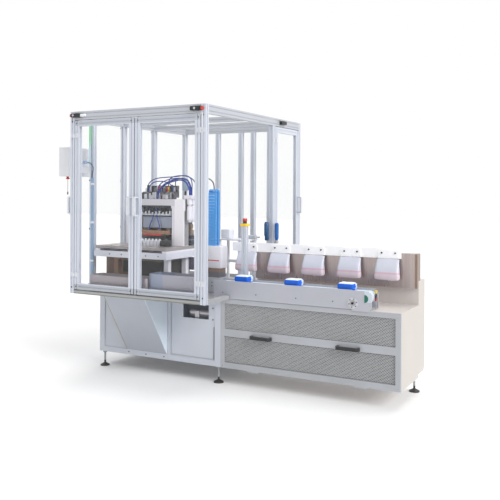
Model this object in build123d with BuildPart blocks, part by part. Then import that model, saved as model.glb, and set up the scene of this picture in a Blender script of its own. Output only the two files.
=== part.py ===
"""Sachet packing machine: a guarded filling cell on a cabinet, with an outfeed conveyor."""
import os
from math import radians, tan

from build123d import *

os.makedirs("parts", exist_ok=True)

# Driving dimensions, in millimetres
cell_length = 1250.0
cell_depth = 1610.0
cell_top = 2063.0
table_height = 642.0
base_bottom = 124.0
base_setback = 355.0
outfeed_reach = 1300.0
control_box_reach = 210.0
handle_reach = 45.0

# Slotted bars, panes and sheets
bar = 40.0
slot_width = 8.0
slot_depth = 5.0
slot_pitch = 0.8 * bar
seam = 0.3
top_rail_height = 65.0
sill_height = 28.0
pane = slot_width - 2 * seam
grip = slot_depth - seam
sheet = 3.0

# Doors, hinges and pull handles
door_bar = 45.0
door_thickness = 30.0
door_gap = 6.0
meeting_gap = 10.0
hinge_offset = 9.0
hinge_radius = 6.0
hinge_pin_radius = 3.0
hinge_section = 12.0
hinge_play = 0.3
hinge_reach = 38.0
hinge_inset = 115.0
hinge_web = 1.0
leaf = 4.0
handle_length = 146.0
handle_rod = 12.0
handle_width = 26.0
handle_corner = 9.0
handle_height = table_height + 688.0

# Cabinet, cover, duct and feet
leg = 50.0
base_rail = 42.0
split_setback = 83.0
base_back_setback = 20.0
base_left_setback = 7.0
cover_depth = 430.0
cover_frame_depth = 18.0
duct_depth = 165.0
duct_bottom = base_bottom + 24.0
duct_top = table_height + 171.0
duct_corner = 25.0
foot_radius = 38.0
pad_edge = 8.0
pad_height = 24.0
stem_radius = 8.0
nut_radius = 17.0
nut_height = 16.0
foot_inset = 31.0

# Conveyor and hanging bags
belt_width = 128.0
belt_thickness = 3.0
belt_play = 4.0
belt_top = table_height + 123.0
roller_radius = 38.0
shaft_radius = 10.0
conveyor_plate = 6.0
conveyor_start = 140.0
conveyor_end = 1045.0
wall_setback = 750.0
wall_thickness = 80.0
wall_top = table_height + 365.0
wall_bottom = table_height + 120.0
clip_pitch = 287.0
last_clip = 1095.0
clip_count = 5

# Planes that several pieces share, measured from the middle of the floor outline
left_end = -(control_box_reach + cell_length + outfeed_reach) / 2
cell_left = left_end + control_box_reach
cell_right = cell_left + cell_length
outfeed_right = cell_right + outfeed_reach
front_end = -(handle_reach + cell_depth) / 2
cell_front = front_end + handle_reach
cell_back = cell_front + cell_depth
base_front = cell_front + base_setback
middle_x = (cell_left + cell_right) / 2

side_post_y = cell_front + 1060.0
left_post_ys = (cell_front + 225.0, cell_front + 620.0, cell_front + 1060.0)
rear_post_xs = (cell_right - 870.0, cell_right - 620.0, cell_right - 490.0, cell_right - 320.0)
opening_front = cell_front + 340.0
opening_top = table_height + 618.0
rails_low = cell_top - top_rail_height
sill_top = table_height + sill_height
floor_top = table_height + sheet
door_low = sill_top + door_gap
door_high = rails_low - door_gap
wall_left = cell_right + 5.0
wall_front = cell_front + wall_setback
wall_back = wall_front + wall_thickness

base_left = cell_left + base_left_setback
split_x = cell_right - split_setback
base_back = cell_back - base_back_setback
cover_back = base_front + cover_depth
shell_front = base_front + cover_frame_depth
duct_back = cover_back + duct_depth
panel_low = base_bottom + base_rail
panel_high = table_height - base_rail


def bar_section(width, height):
    """Outline of a slotted bar, with a groove down the middle of each 40 mm of a face."""
    Rectangle(width, height)
    across = max(1, round(width / bar))
    up = max(1, round(height / bar))
    for side in (-1, 1):
        with Locations(*[((i - (across - 1) / 2) * slot_pitch, side * height / 2) for i in range(across)]):
            Rectangle(slot_width, 2 * slot_depth, mode=Mode.SUBTRACT)
        with Locations(*[(side * width / 2, (i - (up - 1) / 2) * slot_pitch) for i in range(up)]):
            Rectangle(2 * slot_depth, slot_width, mode=Mode.SUBTRACT)


def post(x, y, low, high, width=bar, depth=bar):
    """Upright slotted bar whose left front edge is at x, y."""
    with BuildSketch(Plane(origin=(x + width / 2, y + depth / 2, low), z_dir=(0, 0, 1))) as outline:
        bar_section(width, depth)
    extrude(outline.sketch, amount=high - low)


def rail_x(x0, x1, y, z, depth=bar, height=bar):
    """Slotted bar along X whose low front edge is at y, z."""
    with BuildSketch(Plane(origin=(x0, y + depth / 2, z + height / 2), x_dir=(0, 1, 0), z_dir=(1, 0, 0))) as outline:
        bar_section(depth, height)
    extrude(outline.sketch, amount=x1 - x0)


def rail_y(y0, y1, x, z, width=bar, height=bar):
    """Slotted bar along Y whose low left edge is at x, z."""
    with BuildSketch(Plane(origin=(x + width / 2, y0, z + height / 2), x_dir=(-1, 0, 0), z_dir=(0, 1, 0))) as outline:
        bar_section(width, height)
    extrude(outline.sketch, amount=y1 - y0)


def block(x0, x1, y0, y1, z0, z1, mode=Mode.ADD):
    """Plain block between its six faces."""
    with Locations((x0, y0, z0)):
        Box(x1 - x0, y1 - y0, z1 - z0, align=(Align.MIN, Align.MIN, Align.MIN), mode=mode)


def upright(x, y, low, high, radius, mode=Mode.ADD):
    """Upright cylinder between two heights."""
    with Locations((x, y, (low + high) / 2)):
        Cylinder(radius, high - low, mode=mode)


def cross_y(x, z, y0, y1, radius, mode=Mode.ADD):
    """Cylinder along Y between two depths."""
    with Locations(Location((x, (y0 + y1) / 2, z), (90, 0, 0))):
        Cylinder(radius, y1 - y0, mode=mode)


def turned(x, y, profile):
    """Upright turned piece about x, y, from the radii and heights of its outline."""
    with BuildSketch(Plane(origin=(x, y, 0), x_dir=(1, 0, 0), z_dir=(0, -1, 0))) as outline:
        with BuildLine():
            Polyline((0, profile[0][1]), *profile, (0, profile[-1][1]), (0, profile[0][1]))
        make_face()
    revolve(outline.sketch, axis=Axis((x, y, 0), (0, 0, 1)))


def along_x(x0, x1, points, mode=Mode.ADD):
    """Straight piece between x0 and x1 whose outline is given as y, z points."""
    with BuildSketch(Plane(origin=(x0, 0, 0), x_dir=(0, 1, 0), z_dir=(1, 0, 0))) as outline:
        Polygon(*points, align=None)
    extrude(outline.sketch, amount=x1 - x0, mode=mode)


def along_y(y0, y1, points, mode=Mode.ADD):
    """Straight piece between y0 and y1 whose outline is given as x, z points."""
    with BuildSketch(Plane(origin=(0, y0, 0), x_dir=(1, 0, 0), z_dir=(0, -1, 0))) as outline:
        Polygon(*points, align=None)
    extrude(outline.sketch, amount=y0 - y1, mode=mode)


def along_z(z0, z1, points, mode=Mode.ADD):
    """Straight piece between z0 and z1 whose outline is given as x, y points."""
    with BuildSketch(Plane(origin=(0, 0, z0))) as outline:
        Polygon(*points, align=None)
    extrude(outline.sketch, amount=z1 - z0, mode=mode)


def save(part, name):
    """Label one finished piece and write it."""
    part.label = name
    export_step(part, f"parts/{name}.step")


# Levelling feet: a pad, a threaded stem and a nut under each leg
foot_places = (
    (base_left + foot_inset, base_front + foot_inset, base_bottom),
    (split_x - foot_inset, base_front + foot_inset, base_bottom),
    (base_left + foot_inset, base_back - foot_inset, base_bottom),
    (split_x - foot_inset, base_back - foot_inset, base_bottom),
    (outfeed_right - leg, cover_back + duct_depth / 2, duct_bottom),
)
with BuildPart() as levelling_feet:
    for x, y, top in foot_places:
        turned(x, y, ((foot_radius, 0), (foot_radius, pad_edge), (stem_radius, pad_height), (stem_radius, top)))
        with BuildSketch(Plane(origin=(x, y, top - nut_height))) as nut:
            RegularPolygon(nut_radius, 6)
        extrude(nut.sketch, amount=nut_height)
save(levelling_feet.part, "levelling_feet")

# Cabinet under the cell: legs, rails between them, and closing panels
with BuildPart() as base_legs:
    for x in (base_left, split_x - leg):
        for y in (base_front, base_back - leg):
            block(x, x + leg, y, y + leg, base_bottom, table_height)
save(base_legs.part, "base_legs")

with BuildPart() as base_rails:
    for y in (base_front, base_back - leg):
        for z in (base_bottom, panel_high):
            block(base_left + leg, split_x - leg, y, y + leg, z, z + base_rail)
    for x in (base_left, split_x - leg):
        for z in (base_bottom, panel_high):
            block(x, x + leg, base_front + leg, base_back - leg, z, z + base_rail)
save(base_rails.part, "base_rails")

chute_left = cell_right - 962.0
chute_right = cell_right - 569.0
chute_front = cell_front + 55.0
divider_width = 34.0
divider_depth = 11.0
panel_inset = 8.0
service_inset = 4.0
service_left = chute_right + divider_width + 1.0
cutout_left = service_left + 113.0
cutout_right = cutout_left + 232.0
cutout_high = panel_high - 21.0
cutout_low = cutout_high - 108.0

with BuildPart() as base_panels:
    block(base_left, base_left + sheet, base_front + leg, base_back - leg, panel_low, panel_high)
    block(split_x - sheet, split_x, base_front + leg, base_back - leg, panel_low, panel_high)
    block(base_left + leg, split_x - leg, base_back - sheet, base_back, panel_low, panel_high)
    block(base_left + leg, chute_right, base_front + panel_inset, base_front + panel_inset + sheet,
          panel_low, panel_high)
    block(chute_right, chute_right + divider_width, base_front + 1, base_front + 1 + divider_depth,
          panel_low, panel_high)
    block(service_left, split_x - leg, base_front + service_inset, base_front + service_inset + sheet,
          panel_low, panel_high)
    block(cutout_left, cutout_right, base_front, base_front + leg, cutout_low, cutout_high, mode=Mode.SUBTRACT)
save(base_panels.part, "base_panels")

# Vacuum filter in the cut-out: a capped cylinder on a bracket that stands on the bottom rail
filter_radius = 24.0
filter_cap_radius = 14.0
filter_cap = 16.0
filter_back = 60.0
filter_left = cutout_left + 30.0
filter_right = cutout_right - 14.0
filter_z = (cutout_low + cutout_high) / 2 - 17.0
bracket_left = cutout_left + 90.0
bracket_width = 40.0
bracket_front = 30.0
bracket_thickness = 8.0
with BuildPart() as vacuum_filter:
    with BuildSketch(Plane(origin=(0, base_front + filter_back, filter_z), x_dir=(1, 0, 0), z_dir=(0, -1, 0))):
        with BuildLine():
            Polyline(
                (filter_left, 0), (filter_left, filter_cap_radius), (filter_left + filter_cap, filter_cap_radius),
                (filter_left + filter_cap, filter_radius), (filter_right, filter_radius), (filter_right, 0),
                (filter_left, 0),
            )
        make_face()
    revolve(axis=Axis((0, base_front + filter_back, filter_z), (1, 0, 0)))
    block(bracket_left, bracket_left + bracket_width, base_front + bracket_front,
          base_front + bracket_front + bracket_thickness, panel_low, filter_z + filter_cap_radius)
save(vacuum_filter.part, "vacuum_filter")

# The chute plate leans back from under the cell's front edge to the foot of the cabinet
chute_lip = 6.0
with BuildPart() as chute:
    along_x(chute_left, chute_right, (
        (chute_front, table_height), (base_front, table_height), (base_front, panel_low),
    ))
    along_x(chute_left + sheet, chute_right - sheet, (
        (chute_front + chute_lip, table_height + 1), (base_front + 1, table_height + 1),
        (base_front + 1, panel_low + chute_lip),
    ), mode=Mode.SUBTRACT)
save(chute.part, "chute")

with BuildPart() as cell_floor:
    block(cell_left + bar, cell_right - bar, cell_front + bar, cell_back - bar, table_height, floor_top)
save(cell_floor.part, "cell_floor")

# Guard frame of the cell: posts, top rails, sills
with BuildPart() as cell_posts:
    for x in (cell_left, cell_right - bar):
        for y in (cell_front, cell_back - bar):
            post(x, y, table_height, cell_top)
    post(cell_right - bar, side_post_y, table_height, rails_low)
    for y in left_post_ys:
        post(cell_left, y, sill_top, rails_low)
    for x in rear_post_xs:
        post(x, cell_back - bar, sill_top, rails_low)
save(cell_posts.part, "cell_posts")

with BuildPart() as cell_top_rails:
    for y in (cell_front, cell_back - bar):
        rail_x(cell_left + bar, cell_right - bar, y, rails_low, height=top_rail_height)
    for x in (cell_left, cell_right - bar):
        rail_y(cell_front + bar, cell_back - bar, x, rails_low, height=top_rail_height)
save(cell_top_rails.part, "cell_top_rails")

with BuildPart() as cell_cross_beams:
    for y in left_post_ys[1:]:
        rail_x(cell_left + bar, cell_right - bar, y, rails_low)
save(cell_cross_beams.part, "cell_cross_beams")

with BuildPart() as cell_sills:
    block(cell_left + bar, cell_right - bar, cell_front, cell_front + bar, table_height, sill_top)
    block(cell_left + bar, cell_right - bar, cell_back - bar, cell_back, table_height, sill_top)
    block(cell_left, cell_left + bar, cell_front + bar, cell_back - bar, table_height, sill_top)
    block(cell_right - bar, cell_right, side_post_y + bar, cell_back - bar, table_height, sill_top)
    block(cell_right - bar, cell_right, cell_front + bar, opening_front, table_height, sill_top)
save(cell_sills.part, "cell_sills")

# Clear panes, seated in the bars' grooves; the right wall is open below for the belt and the bags
pane_x_left = cell_left + bar / 2 - pane / 2
pane_x_right = cell_right - bar / 2 - pane / 2
pane_y_back = cell_back - bar / 2 - pane / 2
roof_low = rails_low + bar + seam
left_edges = (cell_front + bar,) + tuple(v for y in left_post_ys for v in (y, y + bar)) + (cell_back - bar,)
rear_edges = (cell_left + bar,) + tuple(v for x in rear_post_xs for v in (x, x + bar)) + (cell_right - bar,)
with BuildPart() as cell_panes:
    for y0, y1 in zip(left_edges[0::2], left_edges[1::2]):
        block(pane_x_left, pane_x_left + pane, y0 - grip, y1 + grip, sill_top + seam, rails_low + grip)
    for x0, x1 in zip(rear_edges[0::2], rear_edges[1::2]):
        block(x0 - grip, x1 + grip, pane_y_back, pane_y_back + pane, sill_top + seam, rails_low + grip)
    block(pane_x_right, pane_x_right + pane, cell_front + bar - grip, opening_front,
          sill_top + seam, rails_low + grip)
    block(pane_x_right, pane_x_right + pane, opening_front, side_post_y + grip, opening_top, rails_low + grip)
    block(cell_left + bar + seam, cell_right - bar - seam, cell_front + bar + seam, cell_back - bar - seam,
          roof_low, roof_low + pane)
save(cell_panes.part, "cell_panes")


def hinge_heights(low, high):
    """Middle heights of a door's two hinges."""
    return (low + hinge_inset, high - hinge_inset)


def hinge_half(z, fixed, plate, web, axis):
    """Half of a hinge: its leaf, a web to the pin and its knuckles; the fixed half also holds the pin.

    plate and web give the x and y limits of those blocks, and axis the pin's x and y.
    """
    low = z - 1.5 * hinge_section
    high = low + 3 * hinge_section
    block(*plate, low, high)
    for k in ((0, 2) if fixed else (1,)):
        play = 0 if fixed else hinge_play
        z0 = low + k * hinge_section + play
        z1 = low + (k + 1) * hinge_section - play
        block(*web, z0, z1)
        upright(*axis, z0, z1, hinge_radius)
    if fixed:
        upright(*axis, low, high, hinge_pin_radius)
    else:
        upright(*axis, low, high, hinge_pin_radius + hinge_play, mode=Mode.SUBTRACT)


def front_hinge(axis_x, side, z, fixed):
    """Half of a hinge on the front; side is -1 where it lies left of the pin."""
    near = axis_x + side * (hinge_radius + hinge_web)
    far = axis_x + side * hinge_reach
    plate = (min(near, far), max(near, far), cell_front - leaf, cell_front)
    web = (min(axis_x, near), max(axis_x, near), cell_front - leaf, cell_front - leaf / 2)
    hinge_half(z, fixed, plate, web, (axis_x, cell_front - hinge_offset))


def side_hinge(axis_y, side, z, fixed):
    """Half of a hinge on the right wall; side is -1 where it lies in front of the pin."""
    near = axis_y + side * (hinge_radius + hinge_web)
    far = axis_y + side * hinge_reach
    plate = (cell_right, cell_right + leaf, min(near, far), max(near, far))
    web = (cell_right + leaf / 2, cell_right + leaf, min(axis_y, near), max(axis_y, near))
    hinge_half(z, fixed, plate, web, (cell_right + hinge_offset, axis_y))


def bridge_outline(length, reach, rod, corner):
    """Outline of a bridge handle whose feet stand on the X axis and whose grip lies towards -Y."""
    low, high = -length / 2, length / 2
    Polygon(
        (low, 0), (low, corner - reach), (low + corner, -reach), (high - corner, -reach), (high, corner - reach),
        (high, 0), (high - rod, 0), (high - rod, rod - reach), (low + rod, rod - reach), (low + rod, 0), align=None,
    )


def front_door(name, x0, x1, hinge_side):
    """One front door: a frame of four bars, its pane, and its hinge halves and pull handle."""
    y = cell_front
    with BuildPart() as frame:
        for x in (x0, x1 - door_bar):
            post(x, y, door_low, door_high, width=door_bar, depth=door_thickness)
        for z in (door_low, door_high - door_bar):
            rail_x(x0 + door_bar + seam, x1 - door_bar - seam, y, z, depth=door_thickness, height=door_bar)
    save(frame.part, f"{name}_frame")
    with BuildPart() as glass:
        middle = y + (door_thickness - pane) / 2
        block(x0 + door_bar - grip, x1 - door_bar + grip, middle, middle + pane,
              door_low + door_bar - grip, door_high - door_bar + grip)
    save(glass.part, f"{name}_pane")
    axis_x = x0 - door_gap / 2 if hinge_side < 0 else x1 + door_gap / 2
    grip_x = x1 - door_bar / 2 if hinge_side < 0 else x0 + door_bar / 2
    with BuildPart() as fittings:
        for z in hinge_heights(door_low, door_high):
            front_hinge(axis_x, -hinge_side, z, False)
        with BuildSketch(Plane(origin=(grip_x + handle_width / 2, y, handle_height), x_dir=(0, 0, 1),
                               z_dir=(-1, 0, 0))) as pull:
            bridge_outline(handle_length, handle_reach, handle_rod, handle_corner)
        extrude(pull.sketch, amount=handle_width)
    save(fittings.part, f"{name}_fittings")
    return axis_x


left_door = (cell_left + bar + door_gap, middle_x - meeting_gap / 2)
right_door = (middle_x + meeting_gap / 2, cell_right - bar - door_gap)
left_axis_x = front_door("door_left", *left_door, -1)
right_axis_x = front_door("door_right", *right_door, 1)

# Side door, hung on the middle post of the right wall
side_y0 = side_post_y + bar + door_gap
side_y1 = cell_back - bar - door_gap
side_x = cell_right - door_thickness
side_axis_y = side_y0 - door_gap / 2
with BuildPart() as door_side_frame:
    for y in (side_y0, side_y1 - door_bar):
        post(side_x, y, door_low, door_high, width=door_thickness, depth=door_bar)
    for z in (door_low, door_high - door_bar):
        rail_y(side_y0 + door_bar + seam, side_y1 - door_bar - seam, side_x, z, width=door_thickness,
               height=door_bar)
save(door_side_frame.part, "door_side_frame")

with BuildPart() as door_side_pane:
    block(side_x + (door_thickness - pane) / 2, side_x + (door_thickness + pane) / 2,
          side_y0 + door_bar - grip, side_y1 - door_bar + grip,
          door_low + door_bar - grip, door_high - door_bar + grip)
save(door_side_pane.part, "door_side_pane")

with BuildPart() as door_side_fittings:
    for z in hinge_heights(door_low, door_high):
        side_hinge(side_axis_y, 1, z, False)
    with BuildSketch(Plane(origin=(cell_right, side_y1 - (door_bar - handle_width) / 2, handle_height),
                           x_dir=(0, 0, 1), z_dir=(0, -1, 0))) as side_pull:
        bridge_outline(handle_length, handle_reach, handle_rod, handle_corner)
    extrude(side_pull.sketch, amount=handle_width)
save(door_side_fittings.part, "door_side_fittings")

with BuildPart() as hinge_leaves:
    for z in hinge_heights(door_low, door_high):
        front_hinge(left_axis_x, -1, z, True)
        front_hinge(right_axis_x, 1, z, True)
        side_hinge(side_axis_y, -1, z, True)
save(hinge_leaves.part, "hinge_leaves")

# Grab handle on the left corner post
grab_reach = 40.0
with BuildPart() as grab_handle:
    with BuildSketch(Plane(origin=(cell_left, cell_front + (bar - handle_width) / 2, handle_height),
                           x_dir=(0, 0, 1), z_dir=(0, 1, 0))) as grab:
        bridge_outline(handle_length, grab_reach, handle_rod, handle_corner)
    extrude(grab.sketch, amount=handle_width)
save(grab_handle.part, "grab_handle")

# Safety switches on the top rail: a long housing, a round key button and an end lamp each
switch_length = 92.0
switch_depth = 26.0
switch_low = rails_low + 18.0
switch_height = 30.0
button_radius = 11.0
button_height = 5.0
lamp_length = 9.0
left_switch_x = cell_left + 22.0
right_switch_x = cell_right - 120.0
side_switch_y = side_post_y + 115.0
with BuildPart() as safety_switches:
    middle_z = switch_low + switch_height / 2
    for x, lamp in ((left_switch_x, -1), (right_switch_x, 1)):
        middle = x + switch_length / 2
        with BuildSketch(Plane(origin=(middle, cell_front, middle_z), x_dir=(1, 0, 0), z_dir=(0, -1, 0))) as housing:
            RectangleRounded(switch_length, switch_height, switch_height / 3)
        extrude(housing.sketch, amount=switch_depth)
        button_x = middle + lamp * switch_length / 4
        cross_y(button_x, middle_z, cell_front - switch_depth - button_height, cell_front - switch_depth, button_radius)
        end = middle + lamp * switch_length / 2
        block(min(end, end + lamp * lamp_length), max(end, end + lamp * lamp_length),
              cell_front - switch_depth + 2, cell_front - 2, switch_low + 4, switch_low + switch_height - 4)
    with BuildSketch(Plane(origin=(cell_right, side_switch_y + switch_length / 2, middle_z), x_dir=(0, 1, 0),
                           z_dir=(1, 0, 0))) as side_housing:
        RectangleRounded(switch_length, switch_height, switch_height / 3)
    extrude(side_housing.sketch, amount=switch_depth)
save(safety_switches.part, "safety_switches")

# Control box outside the left wall, held by a bracket on the second post and a conduit stub
box_depth = 110.0
box_front = cell_front + 98.0
box_back = box_front + 244.0
box_top = cell_top - 268.0
box_low = box_top - 235.0
box_right = left_end + box_depth
box_corner = 8.0
box_inset = 14.0
box_door = 2.0
box_bracket_low = box_low + 30.0
box_bracket_height = 50.0
conduit_radius = 9.0
conduit_y = box_front + 32.0
conduit_z = box_low + 112.0
with BuildPart() as control_box:
    block(left_end, box_right, box_front, box_back, box_low, box_top)
    fillet(control_box.edges().filter_by(Axis.Y), radius=box_corner)
    block(left_end + box_inset, box_right - box_inset, box_front - box_door, box_front, box_low + box_inset,
          box_top - box_inset)
    block(box_right, cell_left, left_post_ys[0], left_post_ys[0] + bar, box_bracket_low,
          box_bracket_low + box_bracket_height)
    with Locations(Location(((box_right + pane_x_left) / 2, conduit_y, conduit_z), (0, 90, 0))):
        Cylinder(conduit_radius, pane_x_left - box_right)
save(control_box.part, "control_box")

# Signal lamp on top of the control box: a foot, a stem and three stacked lenses
lamp_x = left_end + 50.0
lamp_y = box_front + 171.0
lamp_radius = 15.0
lamp_stem = 6.0
lamp_foot = 6.0
lamp_base_low = box_top + 80.0
lamp_base_high = lamp_base_low + 16.0
lens_height = 27.0
lens_seam = 1.5
lens_neck = 12.0
lamp_profile = [(lamp_radius, box_top), (lamp_radius, box_top + lamp_foot), (lamp_stem, box_top + lamp_foot),
                (lamp_stem, lamp_base_low), (lamp_radius, lamp_base_low), (lamp_radius, lamp_base_high)]
for k in range(3):
    lens_low = lamp_base_high + k * (lens_height + lens_seam)
    lamp_profile += [(lens_neck, lens_low), (lens_neck, lens_low + lens_seam), (lamp_radius, lens_low + lens_seam),
                     (lamp_radius, lens_low + lens_seam + lens_height)]
with BuildPart() as signal_lamp:
    turned(lamp_x, lamp_y, lamp_profile)
save(signal_lamp.part, "signal_lamp")

# Machine table inside the cell: a tray-shaped frame on two legs, with a slotted top plate on pads
table_x0 = cell_right - 1176.0
table_x1 = cell_right - 470.0
table_y0 = cell_front + 200.0
table_y1 = cell_front + 605.0
bench_low = table_height + 279.0
bench_high = bench_low + 48.0
bench_wall = 8.0
pad_rise = 18.0
plate_rise = pad_rise + 22.0
plate_inset = 8.0
pad_width = 40.0
slot_count = 5
nest_slot = 26.0
nest_pitch = (table_x1 - table_x0) / (slot_count + 1)
table_leg = 40.0
with BuildPart() as machine_table:
    block(table_x0, table_x1, table_y0, table_y1, bench_low, bench_high)
    block(table_x0 + bench_wall, table_x1 - bench_wall, table_y0 + bench_wall, table_y1 - bench_wall,
          bench_low - 1, bench_high - bench_wall, mode=Mode.SUBTRACT)
    for x in (table_x0 + plate_inset, (table_x0 + table_x1 - pad_width) / 2, table_x1 - plate_inset - pad_width):
        block(x, x + pad_width, table_y0 + bench_wall, table_y1 - bench_wall, bench_high, bench_high + pad_rise)
    block(table_x0 + plate_inset, table_x1 - plate_inset, table_y0 + bench_wall, table_y1,
          bench_high + pad_rise, bench_high + plate_rise)
    for i in range(slot_count):
        x = table_x0 + (i + 1) * nest_pitch
        block(x - nest_slot / 2, x + nest_slot / 2, table_y0 + pad_width, table_y0 + 4 * pad_width,
              bench_high + pad_rise - 1, bench_high + plate_rise + 1, mode=Mode.SUBTRACT)
    for y in (table_y0 + 2 * table_leg, table_y1 - 2 * table_leg):
        block(table_x1 - 2 * table_leg, table_x1 - table_leg, y, y + table_leg, floor_top, bench_low)
        block(table_x1 - 2 * table_leg, table_x1 - table_leg, y, y + table_leg, bench_low, bench_high - bench_wall)
save(machine_table.part, "machine_table")

# Drive housing under the table, with a skirt that flares out towards the left
drive_left = cell_right - 1020.0
drive_right = cell_right - 570.0
drive_front = cell_front + 260.0
drive_back = cell_front + 590.0
skirt_flare = 65.0
skirt_top = bench_low - 70.0
skirt_middle = (floor_top + skirt_top) / 2 - 12.0
with BuildPart() as drive_housing:
    with BuildSketch(Plane(origin=(0, drive_front, 0), x_dir=(1, 0, 0), z_dir=(0, -1, 0))):
        with BuildLine():
            Polyline((drive_left, skirt_top), (drive_left, bench_low), (drive_right, bench_low),
                     (drive_right, floor_top), (drive_left - skirt_flare, floor_top))
            ThreePointArc((drive_left - skirt_flare, floor_top), (drive_left - skirt_flare / 4, skirt_middle),
                          (drive_left, skirt_top))
        make_face()
    extrude(amount=drive_front - drive_back)
    block(drive_left + bar, drive_right - bar, drive_front - 1, drive_front + bar, floor_top + 2 * bar,
          bench_low - bar / 2, mode=Mode.SUBTRACT)
save(drive_housing.part, "drive_housing")

# Two catch trays in front of the drive, open at the top
tray_front = cell_front + 80.0
tray_back = cell_front + 240.0
tray_wall = 3.0
tray_corner = 30.0
left_tray = (cell_right - 1130.0, cell_right - 560.0, 141.0)
right_tray = (cell_right - 555.0, cell_right - 130.0, 181.0)
with BuildPart() as lower_trays:
    for x0, x1, height in (left_tray, right_tray):
        for inset, mode in ((0, Mode.ADD), (tray_wall, Mode.SUBTRACT)):
            with BuildSketch(Plane(origin=((x0 + x1) / 2, (tray_front + tray_back) / 2, floor_top + inset))) as tray:
                RectangleRounded(x1 - x0 - 2 * inset, tray_back - tray_front - 2 * inset, tray_corner - inset)
            extrude(tray.sketch, amount=height, mode=mode)
save(lower_trays.part, "lower_trays")

# Portal over the table, the sealing head that hangs in it and the valve row on its beam
portal_x0 = cell_right - 1040.0
portal_x1 = table_x1 - 5.0
column_left = 110.0
column_right = 113.0
portal_y0 = cell_front + 440.0
portal_y1 = portal_y0 + 70.0
plate_high = bench_high + plate_rise
beam_low = plate_high + 321.0
beam_high = beam_low + 51.0
gusset = 25.0
window_x0 = portal_x0 + column_left
window_x1 = portal_x1 - column_right
with BuildPart() as gantry:
    along_y(portal_y0, portal_y1, (
        (portal_x0, plate_high), (window_x0, plate_high), (window_x0, beam_low - gusset),
        (window_x0 + gusset, beam_low), (window_x1 - gusset, beam_low), (window_x1, beam_low - gusset),
        (window_x1, plate_high), (portal_x1, plate_high), (portal_x1, beam_high), (portal_x0, beam_high),
    ))
save(gantry.part, "gantry")

jaw_low = plate_high + 90.0
jaw_high = jaw_low + 30.0
heater_low = jaw_high + 21.0
heater_high = heater_low + 100.0
heater_front = portal_y0 + 28.0
heater_back = heater_front + 72.0
anvil_high = plate_high + 51.0
anvil_step = 30.0
ram_radius = 14.0
ram_count = 4
ram_pitch = 72.0
ram_y = portal_y0 + 50.0
head_x0 = window_x0 + 40.0
head_x1 = window_x1 - 22.0
with BuildPart() as sealing_head:
    block(window_x0 + 10, window_x1 - 12, portal_y0 - 10, heater_back - 20, jaw_low, jaw_high)
    along_x(head_x0, head_x1, (
        (heater_front, heater_low), (heater_back, heater_low), (heater_back, heater_high),
        (heater_front + 14, heater_high), (heater_front, heater_high - 14),
    ))
    for x in (head_x0 + 20, (head_x0 + head_x1) / 2, head_x1 - 50):
        block(x, x + 30, heater_front + 6, heater_back - 26, jaw_high, heater_low)
    for i in range(ram_count):
        upright(head_x0 + 22 + i * ram_pitch, ram_y, heater_high, beam_low, ram_radius)
    along_x(head_x0, head_x1, (
        (portal_y0 - 10, plate_high), (heater_back, plate_high), (heater_back, anvil_high),
        (portal_y0 - 10 + anvil_step, anvil_high), (portal_y0 - 10, anvil_high - anvil_step / 2),
    ))
save(sealing_head.part, "sealing_head")

valve_front = portal_y0 + 30.0
valve_back = valve_front + 86.0
valve_base = 12.0
valve_port = beam_high + 59.0
valve_high = beam_high + 109.0
valve_x0 = cell_right - 898.0
valve_width = 34.0
valve_pitch = 38.0
valve_count = 8
with BuildPart() as valve_row:
    block(valve_x0 - 6, valve_x0 + valve_count * valve_pitch + 2, valve_front, portal_y1, beam_high,
          beam_high + valve_base)
    for i in range(valve_count):
        x = valve_x0 + i * valve_pitch
        along_x(x, x + valve_width, (
            (valve_front, beam_high + valve_base), (valve_back, beam_high + valve_base), (valve_back, valve_high),
            (valve_front + 62, valve_high), (valve_front + 62, valve_port), (valve_front, valve_port),
        ))
save(valve_row.part, "valve_row")

# Air units: a manifold with two bowls beside the portal, and one filter outside the right wall
manifold_x0 = portal_x1
manifold_low = beam_high + 4.0
manifold_high = manifold_low + 28.0
manifold_width = 70.0
bowl_radius = 21.0
bowl_neck = 11.0
bowl_low = manifold_low - 185.0
bracket_plate = 8.0
bowl_x = manifold_x0 + 40.0
filter_x = cell_right + 27.0
filter_y = side_post_y + bar / 2
unit_low = table_height + 332.0
unit_body = 58.0
unit_height = 213.0
unit_radius = 17.0
with BuildPart() as air_units:
    block(manifold_x0, manifold_x0 + manifold_width, portal_y0, portal_y1 + 28, manifold_low, manifold_high)
    block(manifold_x0, manifold_x0 + bracket_plate, portal_y0 + 5, portal_y1 - 5, beam_low - bar, manifold_low)
    for y in (portal_y0 + 22, portal_y1 - 2):
        turned(bowl_x, y, (
            (bowl_neck, bowl_low), (bowl_radius, bowl_low + 22), (bowl_radius, manifold_low - 62),
            (bowl_neck, manifold_low - 56), (bowl_neck, manifold_low - 44), (bowl_radius, manifold_low - 44),
            (bowl_radius, manifold_low),
        ))
    turned(filter_x, filter_y, (
        (bowl_neck, unit_low), (unit_radius - 2, unit_low + 10), (unit_radius - 2, unit_low + unit_body),
        (bowl_neck, unit_low + unit_body + 10), (unit_radius, unit_low + unit_body + 30),
        (unit_radius, unit_low + unit_height - 10), (bowl_neck, unit_low + unit_height),
    ))
    block(cell_right, filter_x, filter_y - 10, filter_y + 10, unit_low + 14, unit_low + unit_body - 8)
save(air_units.part, "air_units")

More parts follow.
